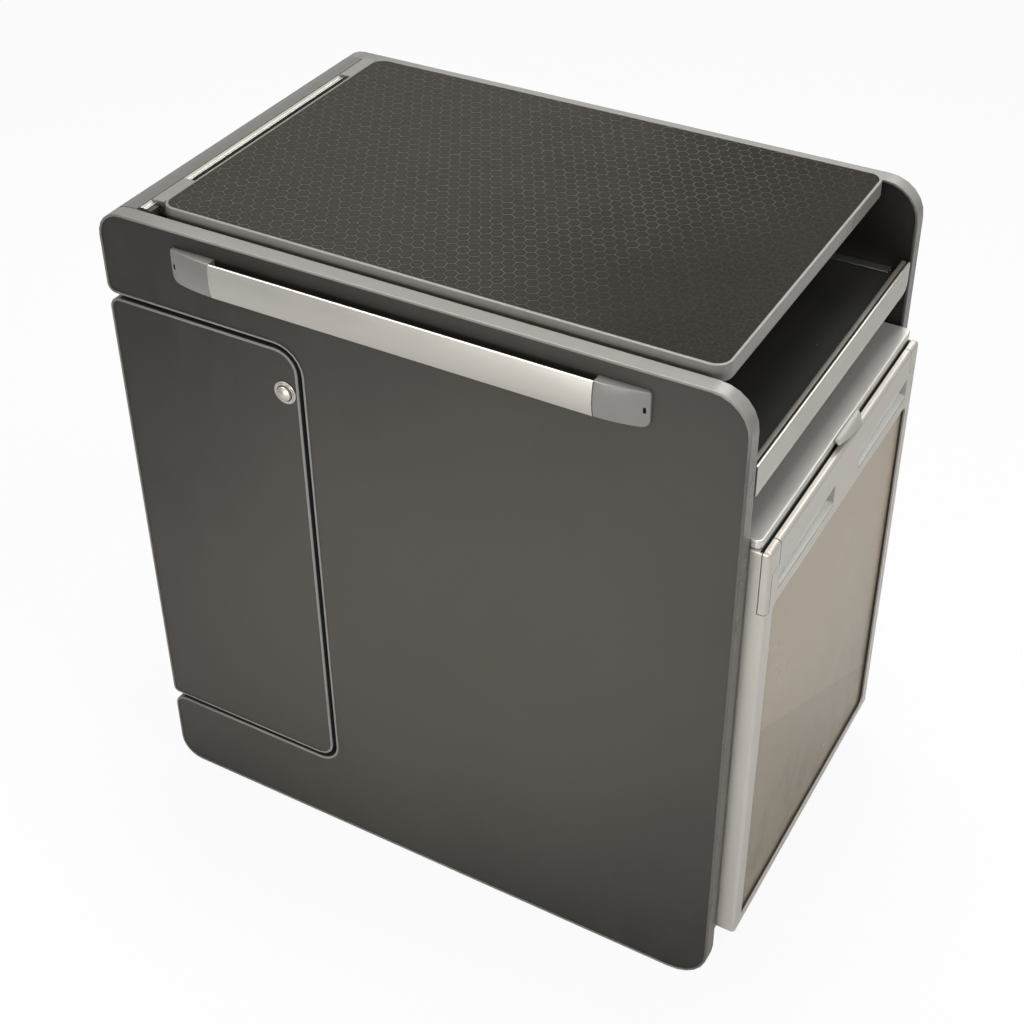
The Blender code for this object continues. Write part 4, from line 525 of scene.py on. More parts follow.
def slot_of(node):
    """Material slot of a CAD node in the record."""
    slots = {entry["node"]: entry["material_slot"] for entry in frame["record"]["subparts"]}
    return slots[node]


def body_of(node):
    """Rigid body that a CAD node belongs to in the record."""
    bodies = frame["record"]["behaviour"]["bodies"]
    return next(body for body, members in bodies.items() if node in members)


def finished(piece, node):
    """Gives a piece even shading and the finish, body and slot of the CAD node that it stands for."""
    only(piece)
    evened = piece.modifiers.new("evened", "WEIGHTED_NORMAL")
    evened.keep_sharp = True
    bpy.ops.object.modifier_apply(modifier=evened.name)
    slot = slot_of(node)
    piece.data.materials.clear()
    piece.data.materials.append(FINISHES[OWN_FINISHES.get(node, slot)])
    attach(piece, body_of(node))
    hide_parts(node)
    return piece


def copied(source, node):
    """Copy of a CAD mesh for a node's piece, open for editing, its triangles merged into flat faces."""
    mesh = frame["nodes"][source].data.copy()
    mesh.name = node + "_fine"
    piece = bpy.data.objects.new(node + "_fine", mesh)
    bpy.context.scene.collection.objects.link(piece)
    only(piece)
    bpy.ops.object.mode_set(mode="EDIT")
    bpy.ops.mesh.select_all(action="SELECT")
    bpy.ops.mesh.remove_doubles(threshold=MERGE_REACH)
    bpy.ops.mesh.dissolve_limited(angle_limit=math.radians(FLAT_DEGREES))
    return piece


def begun(name):
    """Empty piece at the origin, open for editing."""
    piece = bpy.data.objects.new(name, bpy.data.meshes.new(name))
    bpy.context.scene.collection.objects.link(piece)
    only(piece)
    bpy.ops.object.mode_set(mode="EDIT")
    return piece


def closed(piece, edge=0.0, steps=EDGE_STEPS):
    """Leaves edit mode with outward normals, rounded sharp edges and smooth shading."""
    bpy.ops.mesh.select_all(action="SELECT")
    bpy.ops.mesh.remove_doubles(threshold=MERGE_REACH)
    bpy.ops.mesh.normals_make_consistent(inside=False)
    bpy.ops.object.mode_set(mode="OBJECT")
    if edge:
        bevel = piece.modifiers.new("edges", "BEVEL")
        bevel.width = edge
        bevel.segments = steps
        bevel.angle_limit = math.radians(CREASE_DEGREES)
        bpy.ops.object.modifier_apply(modifier=bevel.name)
    bpy.ops.object.shade_smooth_by_angle(angle=math.radians(CREASE_DEGREES))
    return piece


def refined(node, edge):
    """Copy of a CAD node with its sharp edges rounded."""
    return finished(closed(copied(node, node), edge), node)


def choose(piece, kind, rule):
    """Selects the faces, edges or corners of the open piece that fit a rule, and nothing else."""
    bpy.ops.mesh.select_mode(type=kind)
    bpy.ops.mesh.select_all(action="DESELECT")
    shape = bmesh.from_edit_mesh(piece.data)
    shape.normal_update()
    for part in {"VERT": shape.verts, "EDGE": shape.edges, "FACE": shape.faces}[kind]:
        if rule(part):
            part.select_set(True)
    bmesh.update_edit_mesh(piece.data)


def add_box(low, high):
    """Adds a box between two corners to the open piece."""
    low = Vector(low)
    high = Vector(high)
    bpy.ops.mesh.select_all(action="DESELECT")
    bpy.ops.mesh.primitive_cube_add(size=1, location=middle_of(low, high), scale=high - low)


def near(first, second):
    return abs(first - second) < SAME_PLACE


def middle_of(first, second):
    return (first + second) / 2


def middle(edge):
    return (edge.verts[0].co + edge.verts[1].co) / 2


def runs(edge, axis):
    """Whether an edge runs along an axis."""
    way = (edge.verts[1].co - edge.verts[0].co).normalized()
    return abs(way[axis]) > STRAIGHT


def on_plane(edge, axis, level):
    return all(near(corner.co[axis], level) for corner in edge.verts)


def meets_square(edge, axis):
    """Whether an edge lies between a face that looks along the axis and one that looks across it."""
    looks = sorted(abs(face.normal[axis]) for face in edge.link_faces)
    return len(looks) == 2 and looks[0] < 1 - STRAIGHT and looks[1] > STRAIGHT


def round_edges(piece, rule, radius, steps):
    choose(piece, "EDGE", rule)
    bpy.ops.mesh.bevel(offset=radius, segments=steps, affect="EDGES")


def slice_at(axis, level, keep=None):
    """Cuts the open piece through a plane; keep names the side that stays, or None for both."""
    place = Vector((0, 0, 0))
    place[axis] = level
    normal = Vector((0, 0, 0))
    normal[axis] = 1
    bpy.ops.mesh.select_all(action="SELECT")
    bpy.ops.mesh.bisect(
        plane_co=place, plane_no=normal, use_fill=keep is not None,
        clear_inner=keep == "above", clear_outer=keep == "below")


def refinished(piece, low, high, finish="rubber"):
    """Gives the faces whose middle lies in a box another finish, the dark rubber if none is named; in gaps
    that is painted shade.
    """
    if FINISHES[finish].name not in piece.data.materials:
        piece.data.materials.append(FINISHES[finish])
    for face in piece.data.polygons:
        if all(low[axis] < face.center[axis] < high[axis] for axis in (X, Y, Z)):
            face.material_index = piece.data.materials.find(FINISHES[finish].name)
    return piece


def grown(low, high, reach):
    """Corners of a box that is larger by a reach on every side."""
    slack = Vector((reach, reach, reach))
    return Vector(low) - slack, Vector(high) + slack


def box_tool(low, high):
    tool = begun("tool")
    add_box(low, high)
    bpy.ops.object.mode_set(mode="OBJECT")
    return tool


def cut_out(piece, tool):
    """Cuts the tool out of the piece and drops the tool."""
    only(piece)
    boolean = piece.modifiers.new("tool", "BOOLEAN")
    boolean.operation = "DIFFERENCE"
    boolean.solver = "EXACT"
    boolean.object = tool
    bpy.ops.object.modifier_apply(modifier=boolean.name)
    bpy.data.objects.remove(tool)
    return piece


def reopened(piece):
    only(piece)
    bpy.ops.object.mode_set(mode="EDIT")
    return piece


# Edge trims

TRIM_ROUND = 0.0011
TRIM_LAP = 0.0012
TRIM_RIM = 0.00035

# Walls of the cupboard door's gap that get painted shade: where they start from its hinge side, and how far
# they reach
GAP_START = 0.012
GAP_REACH = 0.006


def drop_holes(piece):
    """Deletes every linked group of faces but the largest, which leaves the outline's own walls."""
    shape = bmesh.from_edit_mesh(piece.data)
    left = set(shape.faces)
    groups = []
    while left:
        group = set()
        waiting = [left.pop()]
        while waiting:
            face = waiting.pop()
            group.add(face)
            for edge in face.edges:
                for other in edge.link_faces:
                    if other in left:
                        left.remove(other)
                        waiting.append(other)
        groups.append(group)
    largest = max(groups, key=lambda group: sum(face.calc_area() for face in group))
    choose(piece, "FACE", lambda face: face not in largest)
    bpy.ops.mesh.delete(type="FACE")


def edge_trim(node, board, axis):
    """Push-on trim: walls grown from the board's outline, rounded outside and opened for the board."""
    low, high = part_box(node)
    board_low, board_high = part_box(board)
    wall = board_low.x - low.x
    piece = copied(board, node)
    bpy.ops.mesh.normals_make_consistent(inside=False)
    choose(piece, "FACE", lambda face: abs(face.normal[axis]) > STRAIGHT)
    bpy.ops.mesh.delete(type="FACE")
    drop_holes(piece)
    bpy.ops.mesh.select_all(action="SELECT")
    bpy.ops.transform.shrink_fatten(value=wall, use_even_offset=True)
    stretch = Vector((1, 1, 1))
    stretch[axis] = (high[axis] - low[axis]) / (board_high[axis] - board_low[axis])
    bpy.ops.transform.resize(value=stretch, center_override=middle_of(board_low, board_high))
    for level in (low[axis], high[axis]):
        choose(piece, "EDGE", lambda edge: edge.is_boundary and on_plane(edge, axis, level))
        bpy.ops.mesh.edge_face_add()
    round_edges(piece, lambda edge: meets_square(edge, axis), TRIM_ROUND, ROUND_STEPS)
    choose(piece, "FACE", lambda face: abs(face.normal[axis]) > STRAIGHT)
    bpy.ops.mesh.inset(thickness=wall + TRIM_LAP - TRIM_ROUND)
    bpy.ops.mesh.delete(type="FACE")
    choose(piece, "EDGE", lambda edge: edge.is_boundary)
    bpy.ops.mesh.bridge_edge_loops()
    round_edges(piece, lambda edge: meets_square(edge, axis), TRIM_RIM, FINE_STEPS)
    return finished(closed(piece), node)


def build_trims():
    """Edge trims of the four boards; the walls of the cupboard door's gap get painted shade behind their
    rims.
    """
    low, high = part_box("cabinet_door_trim")
    gap_low = (low.x + GAP_START, low.y + TRIM_ROUND, low.z - GAP_REACH)
    gap_high = (high.x + GAP_REACH, high.y + OVERLAP, high.z + GAP_REACH)
    # Painted shade: the walls of the cupboard door's gap get the dark rubber
    refinished(edge_trim("front_panel_trim", "front_panel", Y), gap_low, gap_high)
    refinished(edge_trim("cabinet_door_trim", "cabinet_door", Y), gap_low, gap_high)
    edge_trim("rear_panel_trim", "rear_panel", Y)
    edge_trim("worktop_trim", "worktop_lid", Z)


# Grab rail

RAIL_ROUND = 0.0013
RAIL_FOOT_ROUND = 0.0005
RAIL_STEPS = 5
CAP_STATIONS = 9
CAP_ROWS = 6
CAP_BULGE = 0.0025
CAP_END_DEPTH = 0.0034
CAP_TOP_RADIUS = 0.003
CAP_LOW_RADIUS = 0.008
CAP_RIDGE = 0.0011
CAP_SLOT_WIDTH = 0.0026
CAP_SLOT_HEIGHT = 0.0055
CAP_SLOT_INSET = 0.0032
CAP_SLOT_DEPTH = 0.0015


def lengthwise(level):
    """Rule for the edges that run along X at a height."""
    return lambda edge: runs(edge, X) and on_plane(edge, Z, level)


def build_grab_rail():
    """Grab rail with its front top edge and its lower edges rounded."""
    low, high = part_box("grab_rail")
    piece = copied("grab_rail", "grab_rail")
    at_top = lengthwise(high.z)
    front = min(middle(edge).y for edge in bmesh.from_edit_mesh(piece.data).edges if at_top(edge))
    round_edges(piece, lambda edge: at_top(edge) and near(middle(edge).y, front), RAIL_ROUND, RAIL_STEPS)
    round_edges(piece, lengthwise(low.z), RAIL_FOOT_ROUND, RAIL_STEPS)
    finished(closed(piece), "grab_rail")


def swept_front(piece, low, high, joint):
    """Bulges the cap's front and draws it back towards its outer end, one row and column at a time."""
    half = (high.z - low.z) / 2
    shape = bmesh.from_edit_mesh(piece.data)
    levels = sorted({round(corner.co.z, PLACES) for corner in shape.verts})
    stations = sorted({round(corner.co.x, PLACES) for corner in shape.verts})

    def choose_front(axis, place):
        choose(piece, "VERT", lambda corner: (
            corner.co.y < high.y - SAME_PLACE and round(corner.co[axis], PLACES) == place))

    for level in levels:
        choose_front(Z, level)
        share = (level - low.z - half) / half
        bpy.ops.transform.translate(value=(0, CAP_BULGE * share * share, 0))
    end_share = CAP_END_DEPTH / (high.y - low.y)
    for station in stations:
        choose_front(X, station)
        share = abs(station - joint) / (high.x - low.x)
        depth = 1 - (1 - end_share) * share * share
        bpy.ops.transform.resize(value=(1, depth, 1), center_override=(station, high.y, high.z))


def build_rail_cap(node, side):
    """End cap: full section at the rail, drawn back to a thin outer end with two rounded corners."""
    low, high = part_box(node)
    outer, joint = (high.x, low.x) if side > 0 else (low.x, high.x)
    centre = middle_of(low.z, high.z)
    piece = begun(node + "_fine")
    add_box(low, high)

    def at_outer_end(edge, above):
        return runs(edge, Y) and near(middle(edge).x, outer) and (middle(edge).z > centre) == above

    round_edges(piece, lambda edge: at_outer_end(edge, True), CAP_TOP_RADIUS, ROUND_STEPS)
    round_edges(piece, lambda edge: at_outer_end(edge, False), CAP_LOW_RADIUS, CORNER_STEPS)
    round_edges(piece, lambda edge: on_plane(edge, Y, low.y), CAP_RIDGE, EDGE_STEPS)
    for i in range(1, CAP_STATIONS):
        slice_at(X, joint + side * (high.x - low.x) * i / CAP_STATIONS)
    for i in range(1, CAP_ROWS):
        slice_at(Z, low.z + (high.z - low.z) * i / CAP_ROWS)
    swept_front(piece, low, high, joint)
    closed(piece)
    slot_x = outer - side * (CAP_SLOT_INSET + CAP_SLOT_WIDTH / 2)
    slot_low = (slot_x - CAP_SLOT_WIDTH / 2, low.y, centre - CAP_SLOT_HEIGHT / 2)
    slot_high = (slot_x + CAP_SLOT_WIDTH / 2, high.y - CAP_SLOT_DEPTH, centre + CAP_SLOT_HEIGHT / 2)
    cut_out(piece, box_tool(slot_low, slot_high))
    finished(closed(reopened(piece)), node)
    refinished(piece, *grown(slot_low, slot_high, MERGE_REACH))


# Lock

LOCK_SIDES = 64
LOCK_FLANGE = 0.0009
LOCK_FLANGE_ROUND = 0.0005
LOCK_COLLAR_INSET = 0.0018
LOCK_COLLAR_WIDTH = 0.0016
LOCK_EDGE = 0.0003
DOME_ROUND = 0.0016
DOME_RINGS = 4
STEM_SHARE = 0.75


def add_disc(centre, radius, front, back):
    """Adds a round disc that looks along Y to the open piece."""
    place = (centre.x, middle_of(front, back), centre.z)
    bpy.ops.mesh.select_all(action="DESELECT")
    bpy.ops.mesh.primitive_cylinder_add(
        vertices=LOCK_SIDES, radius=radius, depth=back - front, location=place,
        rotation=(math.radians(90), 0, 0))


def faces_front(face, level):
    return face.normal.y < -STRAIGHT and near(face.calc_center_median().y, level)


def build_lock_ring(centre):
    """Rosette: a thin flange with a collar round the button."""
    low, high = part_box("lock_ring")
    flange_front = high.y - LOCK_FLANGE
    ring = begun("lock_ring_fine")
    add_disc(centre, (high.x - low.x) / 2, flange_front, high.y)
    round_edges(ring, lambda edge: on_plane(edge, Y, flange_front), LOCK_FLANGE_ROUND, EDGE_STEPS)
    choose(ring, "FACE", lambda face: faces_front(face, flange_front))
    bpy.ops.mesh.inset(thickness=LOCK_COLLAR_INSET - LOCK_FLANGE_ROUND)
    bpy.ops.mesh.extrude_region_move(TRANSFORM_OT_translate={"value": (0, low.y - flange_front, 0)})
    bpy.ops.mesh.inset(thickness=LOCK_COLLAR_WIDTH)
    bpy.ops.mesh.extrude_region_move(TRANSFORM_OT_translate={"value": (0, high.y - low.y, 0)})
    finished(closed(ring, LOCK_EDGE, FINE_STEPS), "lock_ring")


def build_lock_button(centre, collar_front):
    """Push button: a domed head in the collar on a thinner stem."""
    low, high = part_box("lock_button")
    radius = (high.x - low.x) / 2
    rim = low.y + DOME_ROUND
    head_back = middle_of(collar_front, high.y)
    button = begun("lock_button_fine")
    add_disc(centre, radius, rim, head_back)
    round_edges(button, lambda edge: on_plane(edge, Y, rim), DOME_ROUND, CORNER_STEPS)
    choose(button, "FACE", lambda face: faces_front(face, rim))
    for i in range(DOME_RINGS):
        bpy.ops.mesh.inset(thickness=(radius - DOME_ROUND) / (DOME_RINGS + 1))
        rise = DOME_ROUND * (DOME_RINGS - i) / sum(range(1, DOME_RINGS + 1))
        bpy.ops.transform.translate(value=(0, -rise, 0))
    add_disc(centre, radius * STEM_SHARE, head_back - OVERLAP, high.y)
    finished(closed(button), "lock_button")


def build_lock():
    low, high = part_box("lock_ring")
    centre = middle_of(low, high)
    build_lock_ring(centre)
    build_lock_button(centre, low.y)


# Fridge front

DOOR_ROUND = 0.0042
DOOR_STEPS = 6
JOINT = 0.0008
COVER_WIDTH = 0.022
COVER_DEPTH = 0.008
COVER_HEIGHT = 0.026
COLUMN_WIDTH = 0.0062
ROLL_DEPTH = 0.0072
ROLL_GAP_BACK = 0.0012
ROLL_GAP_DEPTH = 0.014
ROLL_GAP_SHALLOW = 0.0022
ROLL_GAP_END = 0.002
GRIP_INSET = 0.0245
GRIP_BRIDGE = 0.065
GRIP_DROP = 0.054
GRIP_HEIGHT = 0.0225
GRIP_TOP_DEPTH = 0.0003
GRIP_SHALLOW = 0.0036
GRIP_DEEP = 0.0095
GRIP_FALL_SHARE = 0.20
GRIP_ROUND = 0.0020
GRIP_LINE = 0.0008
GRIP_LINE_DROP = 0.0006
POCKET_RADIUS = 0.009
RIM_DEPTH = 0.0014
RIM_STEP = 0.0004
DOOR_EDGE = 0.0003
OVERRUN = 0.01


def door_blank(name, low, high):
    """Box of the door's size, open for editing, with all edges rounded but those of its back."""
    piece = begun(name)
    add_box(low, high)
    round_edges(piece, lambda edge: runs(edge, X) or on_plane(edge, X, high.x), DOOR_ROUND, DOOR_STEPS)
    return piece


def hexahedron(name, corners):
    """Closed solid from a cube whose corners are moved: corners maps (x, y, z) signs to places."""
    tool = begun(name)
    bpy.ops.mesh.primitive_cube_add(size=2)
    for signs, place in corners.items():
        choose(tool, "VERT", lambda corner: near((corner.co - Vector(signs)).length, 0))
        bpy.ops.transform.translate(value=Vector(place) - Vector(signs))
    bpy.ops.object.mode_set(mode="OBJECT")
    return tool


def grip_tool(start, end, low, face):
    """Finger recess: a wedge open at its top, its floor shallow at the start and deep at the end."""
    corners = {}
    for y, side, depth in ((start, -1, GRIP_SHALLOW), (end, 1, GRIP_DEEP)):
        for z, up, inset in ((low, -1, depth), (low + GRIP_HEIGHT, 1, GRIP_TOP_DEPTH)):
            rise = GRIP_FALL_SHARE if up < 0 else 0
            corners[(-1, side, up)] = (face - inset, y, z + inset * rise)
            corners[(1, side, up)] = (face + OVERRUN, y, z - OVERRUN * rise)
    tool = reopened(hexahedron("grip_tool", corners))
    halfway = middle_of(low, low + GRIP_HEIGHT)

    def behind_face(edge):
        return min(corner.co.x for corner in edge.verts) < face

    round_edges(tool, lambda edge: middle(edge).z < halfway and behind_face(edge), GRIP_ROUND, DOOR_STEPS)
    bpy.ops.object.mode_set(mode="OBJECT")
    return tool


def pocket_tool(low, high, reach, back, front):
    """Box round the decor panel's outline with round corners, from a back to a front."""
    tool = begun("pocket")
    add_box((back, low.y - reach, low.z - reach), (front, high.y + reach, high.z + reach))
    round_edges(tool, lambda edge: runs(edge, X), POCKET_RADIUS, DOOR_STEPS)
    bpy.ops.object.mode_set(mode="OBJECT")
    return tool


def cut_roll_gap(piece, low, high, back):
    """Cuts the gap behind the roll of the door's top edge: shallow over all, deep between its ends."""
    roll_back = high.x - ROLL_DEPTH
    for depth, end in ((ROLL_GAP_SHALLOW, -OVERRUN), (ROLL_GAP_DEPTH, ROLL_GAP_END)):
        cut_out(piece, box_tool(
            (back, low.y + end, high.z - depth), (roll_back, high.y - end, high.z + OVERRUN)))


def cut_grips(door, low, high):
    """Cuts two finger recesses with a fine line under each, and gives the boxes of both."""
    grips = []
    lines = []
    length = (high.y - low.y - 2 * GRIP_INSET - GRIP_BRIDGE) / 2
    grip_low = high.z - GRIP_DROP
    line_top = grip_low - GRIP_LINE_DROP
    for i in range(2):
        start = low.y + GRIP_INSET + i * (length + GRIP_BRIDGE)
        end = start + length
        cut_out(door, grip_tool(start, end, grip_low, high.x))
        grips.append(((high.x - GRIP_DEEP, start, grip_low), (high.x, end, grip_low + GRIP_HEIGHT)))
        line_low = (high.x - GRIP_LINE, start, line_top - GRIP_LINE)
        line_high = (high.x + OVERRUN, end, line_top)
        cut_out(door, box_tool(line_low, line_high))
        lines.append((line_low, line_high))
    return grips, lines


def fit_cover(door, node, side, low, high):
    """Cuts a corner cover's seat out of the door, builds the cover and gives the boxes of the joint."""
    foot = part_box(node)[0].z
    outer = low.y if side < 0 else high.y
    inner = outer - side * COVER_WIDTH
    column = outer - side * COLUMN_WIDTH
    back = high.x - COVER_DEPTH
    step = high.z - COVER_HEIGHT
    joints = []
    for reach, base in ((inner, step), (column, foot)):
        ends = sorted((outer + side * OVERRUN, reach - side * JOINT))
        cut_out(door, box_tool(
            (back - JOINT, ends[0], base - JOINT), (high.x + OVERRUN, ends[1], high.z + OVERRUN)))
        walls = sorted((reach, reach - side * JOINT))
        joints.append(((back - JOINT, walls[0], base - JOINT), (high.x, walls[1], high.z)))
    cover = door_blank(node + "_fine", low, high)
    slice_at(X, back, "above")
    slice_at(Z, foot, "above")
    slice_at(Y, inner, "above" if side > 0 else "below")
    closed(cover)
    ends = sorted((column, inner - side * OVERRUN))
    cut_out(cover, box_tool(
        (back - OVERRUN, ends[0], foot - OVERRUN), (high.x + OVERRUN, ends[1], step)))
    cut_roll_gap(cover, low, high, back - OVERRUN)
    finished(closed(reopened(cover), DOOR_EDGE, FINE_STEPS), node)
    return joints


def build_fridge_front():
    """Fridge door and its corner covers; gaps, joints and pocket walls get painted shade, grips painted
    light.
    """
    low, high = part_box("fridge_door")
    insert_low, insert_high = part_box("fridge_insert")
    lid_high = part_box("fridge_lid")[1]
    front = high.x + OVERRUN
    rim_back = high.x - RIM_DEPTH
    door = closed(door_blank("fridge_door_fine", low, high))
    cut_out(door, pocket_tool(insert_low, insert_high, JOINT, insert_low.x - JOINT, front))
    cut_out(door, pocket_tool(insert_low, insert_high, JOINT + RIM_STEP, rim_back, front))
    gap_back = lid_high.x - ROLL_GAP_BACK
    cut_roll_gap(door, low, high, gap_back)
    grips, dark = cut_grips(door, low, high)
    pocket_low, pocket_high = grown(insert_low, insert_high, JOINT)
    pocket_high.x = rim_back - RIM_STEP
    dark.append((pocket_low, pocket_high))
    for node, side in (("fridge_cover_near", -1), ("fridge_cover_far", 1)):
        dark += fit_cover(door, node, side, low, high)
    finished(closed(reopened(door), DOOR_EDGE, FINE_STEPS), "fridge_door")
    slack = Vector((SAME_PLACE, SAME_PLACE, SAME_PLACE))
    # Painted shade: the gap behind the roll gets the dark rubber
    gap_low = Vector((gap_back, low.y + ROLL_GAP_END, high.z - ROLL_GAP_DEPTH))
    gap_high = Vector((high.x - ROLL_DEPTH, high.y - ROLL_GAP_END, high.z - ROLL_GAP_SHALLOW))
    refinished(door, gap_low - slack, gap_high - slack)
    # Painted light: the grip recesses get the paler copy of the silver
    for grip_low, grip_high in grips:
        refinished(door, Vector(grip_low) - slack, Vector(grip_high) - slack, "painted_light_fridge_grip")
    # Painted shade: the fine lines under the grips, the pocket's walls and the covers' joints get the dark
    # rubber
    for dark_low, dark_high in dark:
        refinished(door, *grown(dark_low, dark_high, SAME_PLACE))


# Latch

LATCH_STATIONS = 12
LATCH_COLUMNS = 5
LATCH_THICKNESS = 0.0016
LATCH_DROP = 0.0052
LATCH_EDGE = 0.0004
LATCH_NEAR_SHARE = 0.55
LATCH_FAR_SHARE = 0.28
LATCH_BELLY_SHARE = 0.70
LATCH_CURL = 0.0011


def build_latch():
    """Thin latch plate with a belly over the roll; its near end curls up."""
    low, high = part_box("fridge_latch")
    piece = begun("fridge_latch_fine")
    add_box((low.x, low.y, high.z - LATCH_THICKNESS), high)
    for i in range(1, LATCH_STATIONS):
        slice_at(Y, low.y + (high.y - low.y) * i / LATCH_STATIONS)
    for i in range(1, LATCH_COLUMNS):
        slice_at(X, low.x + (high.x - low.x) * i / LATCH_COLUMNS)
    for i in range(LATCH_STATIONS + 1):
        share = i / LATCH_STATIONS
        station = low.y + (high.y - low.y) * share
        if share < LATCH_BELLY_SHARE:
            rise = math.sin(math.pi / 2 * share / LATCH_BELLY_SHARE)
            breadth = LATCH_NEAR_SHARE + (1 - LATCH_NEAR_SHARE) * rise
        else:
            rise = math.cos(math.pi / 2 * (share - LATCH_BELLY_SHARE) / (1 - LATCH_BELLY_SHARE))
            breadth = LATCH_FAR_SHARE + (1 - LATCH_FAR_SHARE) * rise
        for j in range(LATCH_COLUMNS, 0, -1):
            column = j / LATCH_COLUMNS
            place = low.x + (high.x - low.x) * column
            choose(piece, "VERT", lambda corner: near(corner.co.y, station) and near(corner.co.x, place))
            sideways = (high.x - low.x) * column * (breadth - 1)
            drop = LATCH_DROP * (column * breadth) ** 2
            curl = LATCH_CURL * math.sin(2 * math.pi * column) if i == 0 else 0
            bpy.ops.transform.translate(value=(sideways, 0, curl - drop))
    finished(closed(piece, LATCH_EDGE, FINE_STEPS), "fridge_latch")


# Fridge lid

FRIDGE_LID_CORNER = 0.006
FRIDGE_LID_ROUND = 0.0013
FRIDGE_LID_GROOVE = 0.0006
FRIDGE_LID_GROOVE_SHARES = (0.34, 0.44, 0.54)


def build_fridge_lid():
    """Top panel of the fridge with rounded corners and a fine groove round its rim."""
    low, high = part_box("fridge_lid")
    piece = begun("fridge_lid_fine")
    add_box(low, high)
    round_edges(piece, lambda edge: runs(edge, Z), FRIDGE_LID_CORNER, CORNER_STEPS)
    groove_foot, groove, groove_top = (
        low.z + (high.z - low.z) * share for share in FRIDGE_LID_GROOVE_SHARES)
    for level in (groove_foot, groove, groove_top):
        slice_at(Z, level)
    choose(piece, "VERT", lambda corner: near(corner.co.z, groove))
    bpy.ops.transform.shrink_fatten(value=-FRIDGE_LID_GROOVE)
    round_edges(piece, lambda edge: on_plane(edge, Z, high.z), FRIDGE_LID_ROUND, ROUND_STEPS)
    round_edges(piece, lambda edge: on_plane(edge, Z, low.z), FRIDGE_LID_ROUND / 2, EDGE_STEPS)
    finished(closed(piece), "fridge_lid")


# Slide-out board's front

SLIDE_CORNER = 0.012
SLIDE_CORNER_STEPS = 8
SLIDE_TOP_ROUND = 0.0010
SLIDE_WALL = 0.0028
SLIDE_EDGE = 0.0005


def build_slide_front():
    """Aluminium front of the slide-out board: bright rounded top edge, one rounded lower corner."""
    low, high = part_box("slide_front")
    piece = begun("slide_front_fine")
    add_box((high.x - SLIDE_WALL, low.y, low.z), high)

    def at_far_foot(edge):
        return lengthwise(low.z)(edge) and near(middle(edge).y, high.y)

    def at_top(edge):
        return runs(edge, Y) and on_plane(edge, Z, high.z)

    round_edges(piece, at_far_foot, SLIDE_CORNER, SLIDE_CORNER_STEPS)
    round_edges(piece, at_top, SLIDE_TOP_ROUND, ROUND_STEPS)
    finished(closed(piece, SLIDE_EDGE), "slide_front")


# Hinge rail

BEAD_TOP = 0.004
BEAD_GROOVE_SHARES = (0.60, 0.70, 0.80)
BEAD_GROOVE = 0.0012
STOP_LENGTH = 0.012
STOP_WIDTH = 0.0125
STOP_DROP = 0.0016
STOP_HEIGHT = 0.012


def build_hinge_rail():
    """Hinge rail with the dark stop block in its near end's corner."""
    low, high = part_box("hinge_rail")
    piece = begun("hinge_rail_fine")
    add_box((low.x, low.y, high.z - BEAD_TOP), high)
    groove_start, groove, groove_end = (
        low.x + (high.x - low.x) * share for share in BEAD_GROOVE_SHARES)
    for station in (groove_start, groove, groove_end):
        slice_at(X, station)
    choose(piece, "VERT", lambda corner: near(corner.co.x, groove) and near(corner.co.z, high.z))
    bpy.ops.transform.translate(value=(0, 0, -BEAD_GROOVE))
    add_box(low, (middle_of(low.x, high.x), high.y, high.z - BEAD_TOP + OVERLAP))
    stop_low = Vector((high.x - OVERLAP, low.y, high.z - STOP_DROP - STOP_HEIGHT))
    stop_high = Vector((low.x + STOP_WIDTH, low.y + STOP_LENGTH, high.z - STOP_DROP))
    add_box(stop_low, stop_high)
    finished(closed(piece, FINE_EDGE), "hinge_rail")
    refinished(piece, stop_low, stop_high + Vector((OVERLAP, OVERLAP, OVERLAP)))


# Everything else keeps its CAD form, and these nodes get rounded edges

FINE_NODES = (
    "hinge_block_front hinge_block_rear fridge_insert slide_board end_top_rail lid_rest deck partition"
    " floor_board end_panel hob_knob hob_tray tap_body tap_spout sink sink_drain lock_case lock_bolt"
    " runner_front runner_rear fridge_body fridge_liner ice_box fridge_shelf fridge_door_liner"
    " fridge_hinge_bracket").split()
SOFT_NODES = ("slide_strip",)


def build_rest():
    done = {piece.name[:-len("_fine")] for piece in bpy.data.objects if piece.name.endswith("_fine")}
    for node in frame["nodes"]:
        edge = FINE_EDGE if node in FINE_NODES else 0.0
        if node in SOFT_NODES:
            edge = SOFT_EDGE
        if node not in done:
            refined(node, edge)


for name, node in frame["nodes"].items():
    node.data.materials.clear()
    node.data.materials.append(FINISHES[slot_of(name)])
build_trims()
build_grab_rail()
build_rail_cap("rail_cap_left", -1)
build_rail_cap("rail_cap_right", 1)
build_lock()
build_fridge_front()
build_latch()
build_fridge_lid()
build_slide_front()
build_hinge_rail()
build_rest()


# Studio

WHITE = (1, 1, 1, 1)
FLOOR_SIZE = 14.0
FLOOR_SHADE = 0.85
FLOOR_ROUGHNESS = 0.9
FLOOR_SPECULAR = 0.1
FLOOR_WHITE_SHARE = 0.93

# Light of the studio: strength of the surroundings in the open, and as mirrored
SURROUND_LIGHT = 0.10
SURROUND_MIRRORED = 0.75

